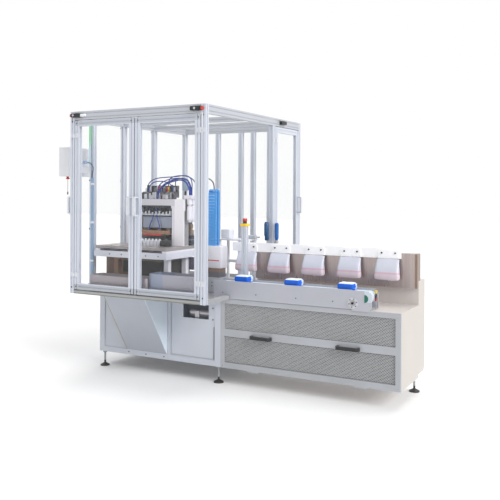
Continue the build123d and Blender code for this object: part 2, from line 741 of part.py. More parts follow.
# Energy chain: a fixed loop that hangs over its own bend, both runs on the floor
chain_x0 = cell_right - 330.0
chain_x1 = cell_right - 240.0
chain_y = cell_front + 600.0
chain_bend = 45.0
chain_inner = 19.0
chain_top = table_height + 820.0
with BuildPart() as energy_chain:
    with BuildSketch(Plane(origin=(chain_x0, chain_y, 0), x_dir=(0, 1, 0), z_dir=(1, 0, 0))):
        for r, mode in ((chain_bend, Mode.ADD), (chain_inner, Mode.SUBTRACT)):
            with Locations((0, chain_top - chain_bend)):
                Circle(r, mode=mode)
            with Locations((0, floor_top)):
                Rectangle(2 * r, chain_top - chain_bend - floor_top, align=(Align.CENTER, Align.MIN), mode=mode)
    extrude(amount=chain_x1 - chain_x0)
save(energy_chain.part, "energy_chain")


def route_radii(points):
    """Largest arc at each corner of a route: 0.45 of its shorter run over the tangent of half the turn."""
    spots = [Vector(*p) for p in points]
    radii = []
    for a, b, c in zip(spots, spots[1:], spots[2:]):
        turn = (b - a).get_angle(c - b)
        radii.append(0.45 * min((b - a).length, (c - b).length) / tan(radians(turn) / 2))
    return radii


def hose(points, diameter):
    """Round tube along a route whose corners are rounded; prints the smallest arc and the volume's share."""
    radii = route_radii(points)
    with BuildLine() as route:
        FilletPolyline(*points, radius=radii)
    path = route.wire()
    with BuildSketch(Plane(origin=path @ 0, z_dir=path % 0)) as section:
        Circle(diameter / 2)
    solid = sweep(section.sketch, path=path)
    share = solid.volume / (section.sketch.area * path.length)
    print("hose", diameter, "smallest arc", round(min(radii), 1), "length", round(path.length, 1),
          "volume share", round(share, 3))


def in_plane(y, points):
    """Points of a route that lies in one upright plane, from x behind the right wall and z above the plate."""
    return [(cell_right - x, y, plate_high + z) for x, z in points]


hose_diameter = 8.0
trunk_diameter = 12.0
port = valve_port - plate_high
top_port = manifold_high - plate_high
beam_under = beam_low - plate_high
jaw_top = jaw_high - plate_high
far_hose = in_plane(portal_y0 + 75, [
    (885, port), (885, port + 42), (857, port + 85), (797, port + 111), (702, port + 118), (605, port + 122),
    (520, port + 133), (466, port + 120), (446, port + 75), (448, port + 15), (448, top_port),
])
middle_hose = in_plane(portal_y0 + 58, [
    (767, port), (767, port + 38), (735, port + 72), (684, port + 95), (612, port + 108), (545, port + 112),
    (490, port + 100), (460, port + 63), (452, port + 15), (452, top_port),
])
near_hose = in_plane(portal_y0 + 41, [
    (843, port), (843, port + 28), (833, port + 53), (809, port + 73), (768, port + 84), (720, port + 86),
    (674, port + 79), (634, port + 64), (614, port + 40), (608, port + 17), (608, port),
])
trunk_hose = in_plane(portal_y0 + 14, [
    (735, beam_high - plate_high), (735, port - 15), (703, port + 32), (650, port + 66), (580, port + 87),
    (515, port + 98), (467, port + 82), (438, port + 42), (430, port), (430, top_port),
])
left_drop = in_plane(portal_y0 + 12, [
    (768, beam_under), (768, beam_under - 40), (775, beam_under - 80), (790, beam_under - 118),
    (808, beam_under - 152), (817, beam_under - 178), (817, jaw_top),
])
right_drop = in_plane(portal_y0 + 12, [
    (750, beam_under), (750, beam_under - 40), (745, beam_under - 83), (733, beam_under - 122),
    (719, beam_under - 155), (714, beam_under - 180), (714, jaw_top),
])
with BuildPart() as air_hoses:
    for route in (far_hose, middle_hose, near_hose, left_drop, right_drop):
        hose(route, hose_diameter)
    hose(trunk_hose, trunk_diameter)
save(air_hoses.part, "air_hoses")

# Gland on the inside of the left pane, cable trunk on the second post, and the free cable between them
gland = 24.0
gland_x0 = pane_x_left + pane
gland_y0 = conduit_y - gland / 2
gland_y1 = conduit_y + gland / 2
trunk_width = 22.0
trunk_depth = 12.0
trunk_top = conduit_z - 122.0
trunk_x0 = gland_x0 + 1.0
trunk_y = left_post_ys[0] - trunk_depth / 2
with BuildPart() as cable_trunk:
    block(gland_x0, gland_x0 + gland, gland_y0, gland_y1, conduit_z - gland / 2, conduit_z + gland / 2)
    block(trunk_x0, trunk_x0 + trunk_width, left_post_ys[0] - trunk_depth, left_post_ys[0], sill_top, trunk_top)
save(cable_trunk.part, "cable_trunk")

cable_diameter = 8.0
cable_x = gland_x0 + gland / 2
with BuildPart() as control_cable:
    hose([
        (cable_x, gland_y1, conduit_z), (cable_x, gland_y1 + 24, conduit_z),
        (cable_x + 3, gland_y1 + 47, conduit_z - 4), (cable_x + 7, gland_y1 + 66, conduit_z - 19),
        (cable_x + 8, trunk_y, conduit_z - 43), (cable_x + 2, trunk_y + 1, conduit_z - 72),
        (cable_x - 5, trunk_y, conduit_z - 98), (cable_x - 5, trunk_y, trunk_top),
    ], cable_diameter)
save(control_cable.part, "control_cable")

# Outfeed cabinet: a folded shell open to the front, closed by a lift-off cover with two mesh windows
with BuildPart() as outfeed_shell:
    block(split_x, outfeed_right, shell_front, cover_back, base_bottom, table_height)
    offset(amount=-sheet, openings=outfeed_shell.faces().sort_by(Axis.Y)[0])
save(outfeed_shell.part, "outfeed_shell")

window_left = split_x + 33.0
window_right = outfeed_right - 37.0
window_gap = 54.0
window_low = base_bottom + 42.0
window_high = table_height - 36.0
window_middle = base_bottom + 265.0
window_corner = 5.0
mesh_depth = 8.0
mesh_sheet = 2.0
windows = ((window_low, window_middle - window_gap / 2), (window_middle + window_gap / 2, window_high))
with BuildPart() as cover_frame:
    block(split_x, outfeed_right, base_front, shell_front, base_bottom, table_height)
    for low, high in windows:
        with BuildSketch(Plane(origin=((window_left + window_right) / 2, shell_front + 1, (low + high) / 2),
                               x_dir=(1, 0, 0), z_dir=(0, -1, 0))) as window:
            RectangleRounded(window_right - window_left, high - low, window_corner)
        extrude(window.sketch, amount=cover_frame_depth + 2, mode=Mode.SUBTRACT)
save(cover_frame.part, "cover_frame")

with BuildPart() as cover_mesh:
    for low, high in windows:
        with BuildSketch(Plane(origin=((window_left + window_right) / 2, base_front + mesh_depth + mesh_sheet,
                                       (low + high) / 2), x_dir=(1, 0, 0), z_dir=(0, -1, 0))) as mesh:
            RectangleRounded(window_right - window_left - 2 * seam, high - low - 2 * seam, window_corner)
        extrude(mesh.sketch, amount=mesh_sheet)
save(cover_mesh.part, "cover_mesh")

bridge_length = 167.0
bridge_reach = 42.0
bridge_height = 24.0
bridge_rod = 16.0
bridge_corner = 12.0
bridge_z = window_middle - 11.0
bridge_xs = (cell_right + 264.5, cell_right + 933.5)
with BuildPart() as cover_handles:
    for x in bridge_xs:
        with BuildSketch(Plane(origin=(x, base_front, bridge_z - bridge_height / 2))) as bridge:
            bridge_outline(bridge_length, bridge_reach, bridge_rod, bridge_corner)
        extrude(bridge.sketch, amount=bridge_height)
save(cover_handles.part, "cover_handles")

# Rear duct behind the cabinet, on its own foot, and the wall and rail that stand on it
with BuildPart() as rear_duct:
    along_x(wall_left, outfeed_right, (
        (cover_back, duct_bottom), (duct_back - duct_corner, duct_bottom), (duct_back, duct_bottom + duct_corner),
        (duct_back, duct_top), (cover_back, duct_top),
    ))
save(rear_duct.part, "rear_duct")

with BuildPart() as back_wall:
    along_x(wall_left, outfeed_right, (
        (wall_front, wall_bottom), (cover_back - seam, wall_bottom), (cover_back - seam, duct_top),
        (wall_back, duct_top), (wall_back, wall_top), (wall_front, wall_top),
    ))
save(back_wall.part, "back_wall")

rail_low = wall_top - 37.0
rail_high = wall_top + 33.0
rail_depth = 13.0
rail_x0 = cell_right - 200.0
rail_x1 = cell_right + last_clip + 90.0
clip_half = 78.0
clip_depth = 6.0
clip_corner = 14.0
clip_high = rail_high - 8.0
screw_spread = 50.0
screw_z = wall_top + 1.0
screw_radius = 7.0
screw_head = 6.0
clip_front = wall_front - rail_depth - clip_depth
clip_xs = [cell_right + last_clip - i * clip_pitch for i in range(clip_count)]
with BuildPart() as carrier_rail:
    block(rail_x0, rail_x1, wall_front - rail_depth, wall_front, rail_low, rail_high)
    for x in clip_xs:
        along_y(clip_front, wall_front - rail_depth, (
            (x - clip_half, rail_low), (x + clip_half, rail_low), (x + clip_half, clip_high - clip_corner),
            (x + clip_half - clip_corner, clip_high), (x - clip_half + clip_corner, clip_high),
            (x - clip_half, clip_high - clip_corner),
        ))
        for side in (-1, 1):
            with BuildSketch(Plane(origin=(x + side * screw_spread, clip_front, screw_z), x_dir=(1, 0, 0),
                                   z_dir=(0, -1, 0))) as screw:
                RegularPolygon(screw_radius, 6)
            extrude(screw.sketch, amount=screw_head)
save(carrier_rail.part, "carrier_rail")

# Hanging bag: a side profile that swells towards its foot, cut to a tapered front outline
bag_drop = 155.0
bag_depth = 78.0
bag_neck = 12.0
bag_top_half = 78.0
bag_foot_half = 100.0
bag_foot_corner = 22.0
bag_top = rail_low - seam
bag_low = bag_top - bag_drop
bag_back = wall_front - rail_depth - 3.0
with BuildPart() as one_bag:
    with BuildSketch(Plane(origin=(-bag_foot_half, 0, 0), x_dir=(0, 1, 0), z_dir=(1, 0, 0))):
        with BuildLine():
            Polyline((bag_back - bag_neck, bag_top), (bag_back, bag_top), (bag_back, bag_low + bag_drop / 2),
                     (bag_back - bag_neck, bag_low), (bag_back - bag_depth + bag_neck, bag_low),
                     (bag_back - bag_depth, bag_low + bag_foot_corner))
            ThreePointArc((bag_back - bag_depth, bag_low + bag_foot_corner),
                          (bag_back - 0.72 * bag_depth, bag_low + 0.52 * bag_drop), (bag_back - bag_neck, bag_top))
        make_face()
    extrude(amount=2 * bag_foot_half)
    with BuildSketch(Plane(origin=(0, bag_back + 1, 0), x_dir=(1, 0, 0), z_dir=(0, -1, 0))):
        Polygon(
            (-bag_top_half, bag_top), (-bag_foot_half, bag_low + bag_foot_corner),
            (-bag_foot_half + bag_foot_corner, bag_low), (bag_foot_half - bag_foot_corner, bag_low),
            (bag_foot_half, bag_low + bag_foot_corner), (bag_top_half, bag_top), align=None,
        )
    extrude(amount=bag_depth + 2, mode=Mode.INTERSECT)
with BuildPart() as hanging_bags:
    for x in clip_xs:
        with Locations((x, 0, 0)):
            add(one_bag.part)
save(hanging_bags.part, "hanging_bags")

# Conveyor: two side plates with cropped ends, on feet, with rollers between them and one closed belt
near_y = base_front - conveyor_plate
far_y = base_front + belt_width + 2 * belt_play
plate_low = table_height + sheet
plate_top = belt_top + 13.0
conveyor_x0 = cell_right - conveyor_start
plate_split = cell_right + conveyor_end - 87.0
conveyor_x1 = cell_right + conveyor_end + 55.0
end_crop = 22.0
axis_z = belt_top - belt_thickness - roller_radius
end_x = cell_right + conveyor_end
start_x = conveyor_x0 + roller_radius + belt_thickness + door_gap
belt_y = base_front + belt_play
foot_xs = (cell_right + 120.0, cell_right + 620.0, end_x - 45.0)
foot_width = 60.0
with BuildPart() as conveyor_plates:
    block(conveyor_x0, plate_split, near_y, base_front, plate_low, plate_top)
    along_y(near_y, base_front, (
        (plate_split, table_height - door_gap), (conveyor_x1 - end_crop, table_height - door_gap),
        (conveyor_x1, table_height + end_crop), (conveyor_x1, plate_top - end_crop),
        (conveyor_x1 - end_crop, plate_top - sheet), (plate_split, plate_top - sheet),
    ))
    along_y(far_y, far_y + conveyor_plate, (
        (conveyor_x0, plate_low), (conveyor_x1, plate_low), (conveyor_x1, plate_top - end_crop),
        (conveyor_x1 - end_crop, plate_top), (conveyor_x0, plate_top),
    ))
    for x in foot_xs:
        block(x, x + foot_width, far_y - leg / 2, far_y + conveyor_plate, table_height, plate_low)
save(conveyor_plates.part, "conveyor_plates")

with BuildPart() as conveyor_belt:
    with BuildSketch(Plane(origin=(0, belt_y, 0), x_dir=(1, 0, 0), z_dir=(0, -1, 0))):
        for r, mode in ((roller_radius + belt_thickness, Mode.ADD), (roller_radius, Mode.SUBTRACT)):
            with Locations(((start_x + end_x) / 2, axis_z)):
                SlotCenterToCenter(end_x - start_x, 2 * r, mode=mode)
    extrude(amount=-belt_width)
save(conveyor_belt.part, "conveyor_belt")

bearing_x = plate_split + 11.0
bearing_z = table_height + 48.0
bearing_radius = 38.0
bearing_hub = 20.0
bearing_reach = 14.0
hex_radius = 9.0
with BuildPart() as conveyor_rollers:
    for x in (start_x, end_x):
        cross_y(x, axis_z, belt_y, belt_y + belt_width, roller_radius - seam)
        cross_y(x, axis_z, base_front, far_y, shaft_radius)
    cross_y(bearing_x, bearing_z, near_y - bearing_reach / 2, near_y, bearing_radius)
    cross_y(bearing_x, bearing_z, near_y - bearing_reach, near_y - bearing_reach / 2, bearing_hub)
    with BuildSketch(Plane(origin=(bearing_x, near_y - bearing_reach, bearing_z), x_dir=(1, 0, 0),
                           z_dir=(0, -1, 0))) as shaft_end:
        RegularPolygon(hex_radius, 6)
    extrude(shaft_end.sketch, amount=bearing_reach / 2)
save(conveyor_rollers.part, "conveyor_rollers")

# Packs on the belt: flat pillows with slanted edges
pack_half = 70.0
pack_front = belt_y + 16.0
pack_depth = 98.0
pack_height = 45.0
pack_slant = 14.0
pack_low = belt_top + seam
pack_xs = (cell_right + 70.0, cell_right + 482.0, cell_right + 890.0)
with BuildPart() as packs:
    for x in pack_xs:
        along_x(x - pack_half, x + pack_half, (
            (pack_front + pack_slant / 2, pack_low), (pack_front + pack_depth - pack_slant / 2, pack_low),
            (pack_front + pack_depth, pack_low + pack_slant), (pack_front + pack_depth - pack_slant, pack_low + pack_height),
            (pack_front + pack_slant, pack_low + pack_height), (pack_front, pack_low + pack_slant),
        ))
save(packs.part, "packs")

# Emergency stop: a slotted column beside the belt with a yellow collar and a red button
stop_x = cell_right + 26.0
stop_y = far_y + bar
stop_high = table_height + 538.0
collar_half = 30.0
collar_height = 20.0
button_neck = 16.0
cap_radius = 20.0
with BuildPart() as stop_column:
    post(stop_x - bar / 2, stop_y - bar / 2, table_height, stop_high)
save(stop_column.part, "stop_column")

with BuildPart() as stop_button:
    along_z(stop_high, stop_high + collar_height, (
        (stop_x - collar_half, stop_y - collar_half + 8), (stop_x - collar_half + 8, stop_y - collar_half),
        (stop_x + collar_half - 8, stop_y - collar_half), (stop_x + collar_half, stop_y - collar_half + 8),
        (stop_x + collar_half, stop_y + collar_half - 8), (stop_x + collar_half - 8, stop_y + collar_half),
        (stop_x - collar_half + 8, stop_y + collar_half), (stop_x - collar_half, stop_y + collar_half - 8),
    ))
    turned(stop_x, stop_y, (
        (button_neck, stop_high + collar_height), (button_neck, stop_high + 2 * collar_height),
        (cap_radius, stop_high + 2 * collar_height + 4), (cap_radius - 3, stop_high + 3 * collar_height),
    ))
save(stop_button.part, "stop_button")

# Clear guard and guide plate between the belt and the hanging bags, held by the column
guard_sheet = 4.0
guard_x0 = stop_x - bar / 2
guard_x1 = cell_right + 140.0
guard_y = stop_y - bar / 2
guard_back = guard_y + 92.0
guard_low = plate_top + sheet
guard_high = stop_high - bar / 2
guide_z = guard_low + 34.0
guide_tip = cell_right + 250.0
with BuildPart() as belt_guard:
    block(guard_x0, guard_x1, guard_y - guard_sheet, guard_y, guard_low, guard_high)
    block(guard_x1 - guard_sheet, guard_x1, guard_y, guard_back, guard_low, guard_high)
    along_z(guide_z, guide_z + guard_sheet, (
        (guard_x1 - guard_sheet, guard_y), (guide_tip, guard_back + guard_sheet), (guard_x1, guard_back + bar / 2),
        (guard_x1 - guard_sheet, guard_back + bar / 2),
    ))
save(belt_guard.part, "belt_guard")
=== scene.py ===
import logging
import math
import random
from collections.abc import Callable, Iterable, Sequence
from dataclasses import dataclass, field
from enum import Enum

import bmesh
import bpy
from mathutils import Matrix, Vector


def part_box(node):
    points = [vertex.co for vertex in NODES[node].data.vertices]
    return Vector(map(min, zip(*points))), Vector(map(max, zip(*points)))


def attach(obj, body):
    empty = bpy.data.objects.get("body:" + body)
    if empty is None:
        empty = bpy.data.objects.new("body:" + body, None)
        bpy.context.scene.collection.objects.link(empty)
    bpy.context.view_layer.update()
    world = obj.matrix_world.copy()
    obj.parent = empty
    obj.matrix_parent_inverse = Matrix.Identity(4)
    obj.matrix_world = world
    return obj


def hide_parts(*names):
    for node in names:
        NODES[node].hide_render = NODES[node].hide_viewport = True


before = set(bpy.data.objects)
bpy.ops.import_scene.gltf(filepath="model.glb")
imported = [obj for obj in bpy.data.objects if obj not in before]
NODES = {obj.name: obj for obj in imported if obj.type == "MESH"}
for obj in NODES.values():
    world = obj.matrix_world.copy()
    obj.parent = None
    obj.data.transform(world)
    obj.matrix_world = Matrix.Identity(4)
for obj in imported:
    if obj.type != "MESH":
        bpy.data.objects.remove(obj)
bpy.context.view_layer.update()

LOG = logging.getLogger("packing_machine")

METRE = 1000.0  # in millimetres
SMOOTH_BELOW = 35.0  # degrees between faces that are still shaded as one surface
WELD = 0.001  # millimetres between corners that are made one

Point = tuple[float, float, float]
Colour = tuple[float, float, float]
Profile = tuple[tuple[float, float], ...]
Output = bpy.types.NodeSocket


class Axis(Enum):
    """A main direction of the machine."""

    X = Vector((1.0, 0.0, 0.0))
    Y = Vector((0.0, 1.0, 0.0))
    Z = Vector((0.0, 0.0, 1.0))


class Facing(Enum):
    """The way that a fastener's head looks."""

    FRONT = (0.0, -1.0, 0.0)
    LEFT = (-1.0, 0.0, 0.0)
    UP = (0.0, 0.0, 1.0)


def srgb(red: int, green: int, blue: int) -> Colour:
    """Turns a colour, given from 0 to 255 in each channel, into linear light."""
    channels = (red, green, blue)
    return tuple((c / 255 / 12.92) if c < 11 else ((c / 255 + 0.055) / 1.055) ** 2.4 for c in channels)


def metres(*values: float) -> tuple[float, ...]:
    """Millimetres to metres."""
    return tuple(v / METRE for v in values)


# Shader wiring


class Wiring:
    """Places nodes in one tree and links them."""

    def __init__(self, tree: bpy.types.NodeTree) -> None:
        """Keeps the tree that is filled."""
        self.tree = tree

    def fill(self, node: bpy.types.Node, inputs: dict) -> None:
        """Sets or feeds a node's inputs.

        Args:
            node: the node.
            inputs: socket name or number to a value, or to the output that feeds it.
        """
        for key, value in inputs.items():
            socket = node.inputs[key]
            if isinstance(value, bpy.types.NodeSocket):
                self.tree.links.new(value, socket)
            elif socket.type == "RGBA" and len(value) == 3:
                socket.default_value = (*value, 1.0)
            else:
                socket.default_value = value

    def node(self, kind: str, inputs: dict | None = None, **settings: object) -> bpy.types.Node:
        """Adds a node.

        Args:
            kind: the node's type name.
            inputs: what fill takes.
            settings: the node's own properties.

        Returns:
            The new node.
        """
        made = self.tree.nodes.new(kind)
        for name, value in settings.items():
            setattr(made, name, value)
        self.fill(made, inputs or {})
        return made

    def maths(self, operation: str, *values: object, clamp: bool = False) -> Output:
        """Adds a Math node and returns its output."""
        made = self.node("ShaderNodeMath", dict(enumerate(values)), operation=operation, use_clamp=clamp)
        return made.outputs[0]

    def mix(self, factor: object, low: object, high: object) -> Output:
        """Mixes two colours and returns the result."""
        return self.node("ShaderNodeMix", {0: factor, 6: low, 7: high}, data_type="RGBA").outputs[2]

    def noise(self, vector: object, scale: object, detail: float = 3.0) -> Output:
        """Adds a Noise texture and returns its value."""
        inputs = {"Vector": vector, "Scale": scale, "Detail": detail}
        return self.node("ShaderNodeTexNoise", inputs).outputs[0]


class EffectGroup:
    """A shader node group that several finishes share."""

    def __init__(self, name: str, inputs: dict[str, str], outputs: dict[str, str]) -> None:
        """Makes the group with its named sockets.

        Args:
            name: the group's name.
            inputs: socket name to Float, Vector or Color.
            outputs: the same for what it gives.
        """
        self.tree = bpy.data.node_groups.new(name, "ShaderNodeTree")
        for way, sockets in (("INPUT", inputs), ("OUTPUT", outputs)):
            for socket, kind in sockets.items():
                self.tree.interface.new_socket(name=socket, in_out=way, socket_type="NodeSocket" + kind)
        self.wiring = Wiring(self.tree)
        self.given = self.wiring.node("NodeGroupInput").outputs
        self.result = self.wiring.node("NodeGroupOutput").inputs

    def give(self, name: str, value: Output) -> None:
        """Links one of the group's outputs."""
        self.tree.links.new(value, self.result[name])


def make_mottle() -> bpy.types.NodeTree:
    """Makes soft patches of a second shade, as on coated sheet, with a fine grain for the height.

    Returns:
        The group's tree.
    """
    inputs = {"Vector": "Vector", "Base": "Color", "Shade": "Color", "Scale": "Float", "Amount": "Float"}
    group = EffectGroup("coat_mottle", inputs, {"Color": "Color", "Height": "Float", "Mask": "Float"})
    w, given = group.wiring, group.given
    patch = w.noise(given["Vector"], given["Scale"], 4.0)
    spread = w.node("ShaderNodeMapRange", {"Value": patch, "From Min": 0.35, "From Max": 0.7}).outputs[0]
    factor = w.maths("MULTIPLY", spread, given["Amount"], clamp=True)
    group.give("Color", w.mix(factor, given["Base"], given["Shade"]))
    group.give("Height", w.noise(given["Vector"], w.maths("MULTIPLY", given["Scale"], 60.0), 2.0))
    group.give("Mask", factor)
    return group.tree


def make_streaks() -> bpy.types.NodeTree:
    """Makes fine drawn lines along one direction, as on brushed or extruded metal.

    Returns:
        The group's tree.
    """
    inputs = {"Vector": "Vector", "Base": "Color", "Shade": "Color", "Stretch": "Vector", "Amount": "Float"}
    group = EffectGroup("drawn_streaks", inputs, {"Color": "Color", "Height": "Float", "Mask": "Float"})
    w, given = group.wiring, group.given
    factors = {0: given["Vector"], 1: given["Stretch"]}
    drawn = w.node("ShaderNodeVectorMath", factors, operation="MULTIPLY").outputs[0]
    lines = w.noise(drawn, 1.0, 5.0)
    broad = w.noise(given["Vector"], 2.2, 2.0)
    both = w.maths("ADD", w.maths("MULTIPLY", lines, 0.6), w.maths("MULTIPLY", broad, 0.4))
    spread = w.node("ShaderNodeMapRange", {"Value": both, "From Min": 0.35, "From Max": 0.65}).outputs[0]
    factor = w.maths("MULTIPLY", spread, given["Amount"], clamp=True)
    group.give("Color", w.mix(factor, given["Base"], given["Shade"]))
    group.give("Height", lines)
    group.give("Mask", factor)
    return group.tree


def make_edge_wear() -> bpy.types.NodeTree:
    """Makes a mask that is strong on edges and broken up by a noise.

    Returns:
        The group's tree.
    """
    group = EffectGroup("edge_wear", {"Vector": "Vector", "Amount": "Float"}, {"Mask": "Float"})
    w, given = group.wiring, group.given
    soft = w.node("ShaderNodeBevel", {"Radius": 0.003}, samples=4).outputs[0]
    flat = w.node("ShaderNodeNewGeometry").outputs["Normal"]
    same = w.node("ShaderNodeVectorMath", {0: soft, 1: flat}, operation="DOT_PRODUCT").outputs["Value"]
    edge = w.maths("MULTIPLY", w.maths("SUBTRACT", 1.0, same), 6.0, clamp=True)
    broken = w.maths("MULTIPLY", edge, w.noise(given["Vector"], 90.0))
    group.give("Mask", w.maths("MULTIPLY", broken, given["Amount"], clamp=True))
    return group.tree


def make_dust() -> bpy.types.NodeTree:
    """Makes a thin film of dust on what faces up.

    Returns:
        The group's tree.
    """
    inputs = {"Vector": "Vector", "Base": "Color", "Amount": "Float"}
    group = EffectGroup("settled_dust", inputs, {"Color": "Color"})
    w, given = group.wiring, group.given
    normal = w.node("ShaderNodeNewGeometry").outputs["Normal"]
    up = w.node("ShaderNodeSeparateXYZ", {0: normal}).outputs["Z"]
    mask = w.maths("MULTIPLY", w.maths("MAXIMUM", up, 0.0), w.noise(given["Vector"], 14.0, 5.0))
    factor = w.maths("MULTIPLY", mask, given["Amount"], clamp=True)
    group.give("Color", w.mix(factor, given["Base"], srgb(226, 222, 214)))
    return group.tree


def make_zone() -> bpy.types.NodeTree:
    """Makes a mask that is 1 inside a box in the machine's own coordinates.

    Returns:
        The group's tree.
    """
    inputs = {"Vector": "Vector", "Middle": "Vector", "Half": "Vector"}
    group = EffectGroup("box_zone", inputs, {"Mask": "Float"})
    w, given = group.wiring, group.given
    places = {0: given["Vector"], 1: given["Middle"]}
    off = w.node("ShaderNodeVectorMath", places, operation="SUBTRACT").outputs[0]
    size = w.node("ShaderNodeVectorMath", {0: off}, operation="ABSOLUTE").outputs[0]
    room = w.node("ShaderNodeVectorMath", {0: given["Half"], 1: size}, operation="SUBTRACT").outputs[0]
    parts = w.node("ShaderNodeSeparateXYZ", {0: room}).outputs
    inside = [w.maths("GREATER_THAN", part, 0.0) for part in parts]
    group.give("Mask", w.maths("MULTIPLY", w.maths("MULTIPLY", inside[0], inside[1]), inside[2]))
    return group.tree


class Effects:
    """The shared shader groups, each built once."""

    mottle: bpy.types.NodeTree = make_mottle()
    streaks: bpy.types.NodeTree = make_streaks()
    edge_wear: bpy.types.NodeTree = make_edge_wear()
    dust: bpy.types.NodeTree = make_dust()
    zone: bpy.types.NodeTree = make_zone()


class Texture(Enum):
    """How a finish varies over its surface."""

    MOTTLE = "mottle"
    STREAKS = "streaks"


@dataclass(frozen=True)
class Zone:
    """A box of the machine in which a finish has another colour, in millimetres."""

    low: Point
    high: Point
    colour: Colour

    def middle(self) -> list[float]:
        """The box's middle in metres."""
        return [(a + b) / 2 / METRE for a, b in zip(self.low, self.high)]

    def half(self) -> list[float]:
        """Half of the box's size in metres."""
        return [(b - a) / 2 / METRE for a, b in zip(self.low, self.high)]


@dataclass(frozen=True)
class Finish:
    """A procedural finish: two close shades, a grain, worn edges and settled dust."""

    name: str
    base: Colour
    shade: Colour
    roughness: float = 0.5
    metallic: float = 0.0
    texture: Texture = Texture.MOTTLE
    scale: float = 6.0
    stretch: Point = (900.0, 900.0, 6.0)
    amount: float = 0.5
    bump: float = 0.05
    grain_depth: float = 0.001
    wear: float = 0.25
    worn: Colour = (0.75, 0.76, 0.8)
    dust: float = 0.15
    coat: float = 0.0
    alpha: float = 1.0
    smear: float = 0.02
    glow: float = 0.0
    gloss_range: tuple[float, float] = (0.85, 1.2)
    zones: tuple[Zone, ...] = ()

    def build(self) -> bpy.types.Material:
        """Makes the material.

        Returns:
            The finished material.
        """
        made = bpy.data.materials.new(self.name)
        made.use_nodes = True
        w = Wiring(made.node_tree)
        shader = made.node_tree.nodes["Principled BSDF"]
        where = w.node("ShaderNodeTexCoord").outputs["Object"]
        colour, height, mask = self.pattern(w, where)
        for zone in self.zones:
            box = {"Vector": where, "Middle": zone.middle(), "Half": zone.half()}
            inside = w.node("ShaderNodeGroup", box, node_tree=Effects.zone).outputs["Mask"]
            colour = w.mix(inside, colour, zone.colour)
        if self.wear > 0:
            worn = {"Vector": where, "Amount": self.wear}
            edges = w.node("ShaderNodeGroup", worn, node_tree=Effects.edge_wear)
            colour = w.mix(edges.outputs["Mask"], colour, self.worn)
        if self.dust > 0:
            film = {"Vector": where, "Base": colour, "Amount": self.dust}
            colour = w.node("ShaderNodeGroup", film, node_tree=Effects.dust).outputs["Color"]
        smoother, rougher = self.gloss_range
        rough = w.node("ShaderNodeMapRange", {"Value": mask, "To Min": self.roughness * smoother,
                                              "To Max": min(1.0, self.roughness * rougher)}).outputs[0]
        bump = w.node("ShaderNodeBump", {"Height": height, "Strength": self.bump,
                                         "Distance": self.grain_depth}).outputs[0]
        w.fill(shader, {"Base Color": colour, "Roughness": rough, "Normal": bump, "Metallic": self.metallic,
                        "Coat Weight": self.coat})
        # Emission lights the lamps; on the carrier rail it is painted light
        if self.glow > 0:
            w.fill(shader, {"Emission Color": colour, "Emission Strength": self.glow})
        if self.alpha < 1:
            w.fill(shader, {"Alpha": w.maths("MULTIPLY_ADD", mask, self.smear, self.alpha)})
        return made

    def pattern(self, w: Wiring, where: Output) -> tuple[Output, ...]:
        """Places the finish's texture group.

        Args:
            w: the material's wiring.
            where: the coordinates that it reads.

        Returns:
            Its colour, height and mask.
        """
        given = {"Vector": where, "Base": self.base, "Shade": self.shade, "Amount": self.amount}
        if self.texture is Texture.STREAKS:
            group = w.node("ShaderNodeGroup", {**given, "Stretch": self.stretch}, node_tree=Effects.streaks)
        else:
            group = w.node("ShaderNodeGroup", {**given, "Scale": self.scale}, node_tree=Effects.mottle)
        return group.outputs["Color"], group.outputs["Height"], group.outputs["Mask"]


# How far a drawn finish is stretched along X, Y and Z

ALONG_X = (6.0, 900.0, 900.0)
ALONG_Z = (900.0, 900.0, 6.0)
LEVEL = (6.0, 6.0, 900.0)
BRUSHED_DOWN = (46.0, 46.0, 1.6)

# Where pieces of the packing line stand along X, in millimetres

PACK_PLACES = (150.0, 562.0, 970.0)
POUCH_PLACES = (1175.0, 888.0, 601.0, 314.0, 27.0)

# Boxes in which a finish changes its colour, in millimetres

DOOR_RAILS = (
    Zone((-1124, -790, 675), (34, -750, 716.5), srgb(180, 184, 192)),
    Zone((-1124, -790, 1951.5), (34, -750, 1993), srgb(192, 197, 206)),
)
LENSES = (
    Zone((-1350, -535, 1892), (-1310, -495, 1920), srgb(40, 190, 120)),
    Zone((-1350, -535, 1920.5), (-1310, -495, 1948.5), srgb(246, 214, 60)),
    Zone((-1350, -535, 1949), (-1310, -495, 1990), srgb(240, 112, 50)),
)
PACK_TOPS = Zone((0, -430, 812.0), (1380, -260, 850), srgb(236, 243, 252))
PACK_ENDS = tuple(Zone((x + 61, -352, 760), (x + 80, -260, 850), srgb(206, 222, 246)) for x in PACK_PLACES)
CLIP_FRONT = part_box("carrier_rail")[0].y * METRE + 5.5
CLIP_SCREWS = tuple(
    Zone((x + side - 9, -100, 999), (x + side + 9, CLIP_FRONT, 1017), srgb(52, 52, 56))
    for x in POUCH_PLACES for side in (-50, 50)
)
FOOT_RODS = Zone((-1500, -900, 44), (1500, 900, 140), srgb(164, 172, 174))
PANEL_MARK = Zone((-149, -430, 413), (-113, -424, 463), srgb(152, 150, 134))
# Painted light: the chute's right cheek lies in the cell floor's shadow and is painted pale, as if lit from the
# right
CHUTE_CHEEK_PAINTED_LIGHT = Zone((-492, -728, 160), (-485, -428, 642), srgb(224, 235, 245))
# Painted shadow: a dark tan line along the chute's left edge
CHUTE_SHADOW_LINE = Zone((-884, -730, 160), (-875, -428, 642), srgb(158, 148, 126))
TRAY_ENDS = (
    Zone((-477, -710, 640), (-340, -500, 830), srgb(150, 158, 178)),
    Zone((-340, -710, 640), (-40, -500, 830), srgb(168, 167, 178)),
)
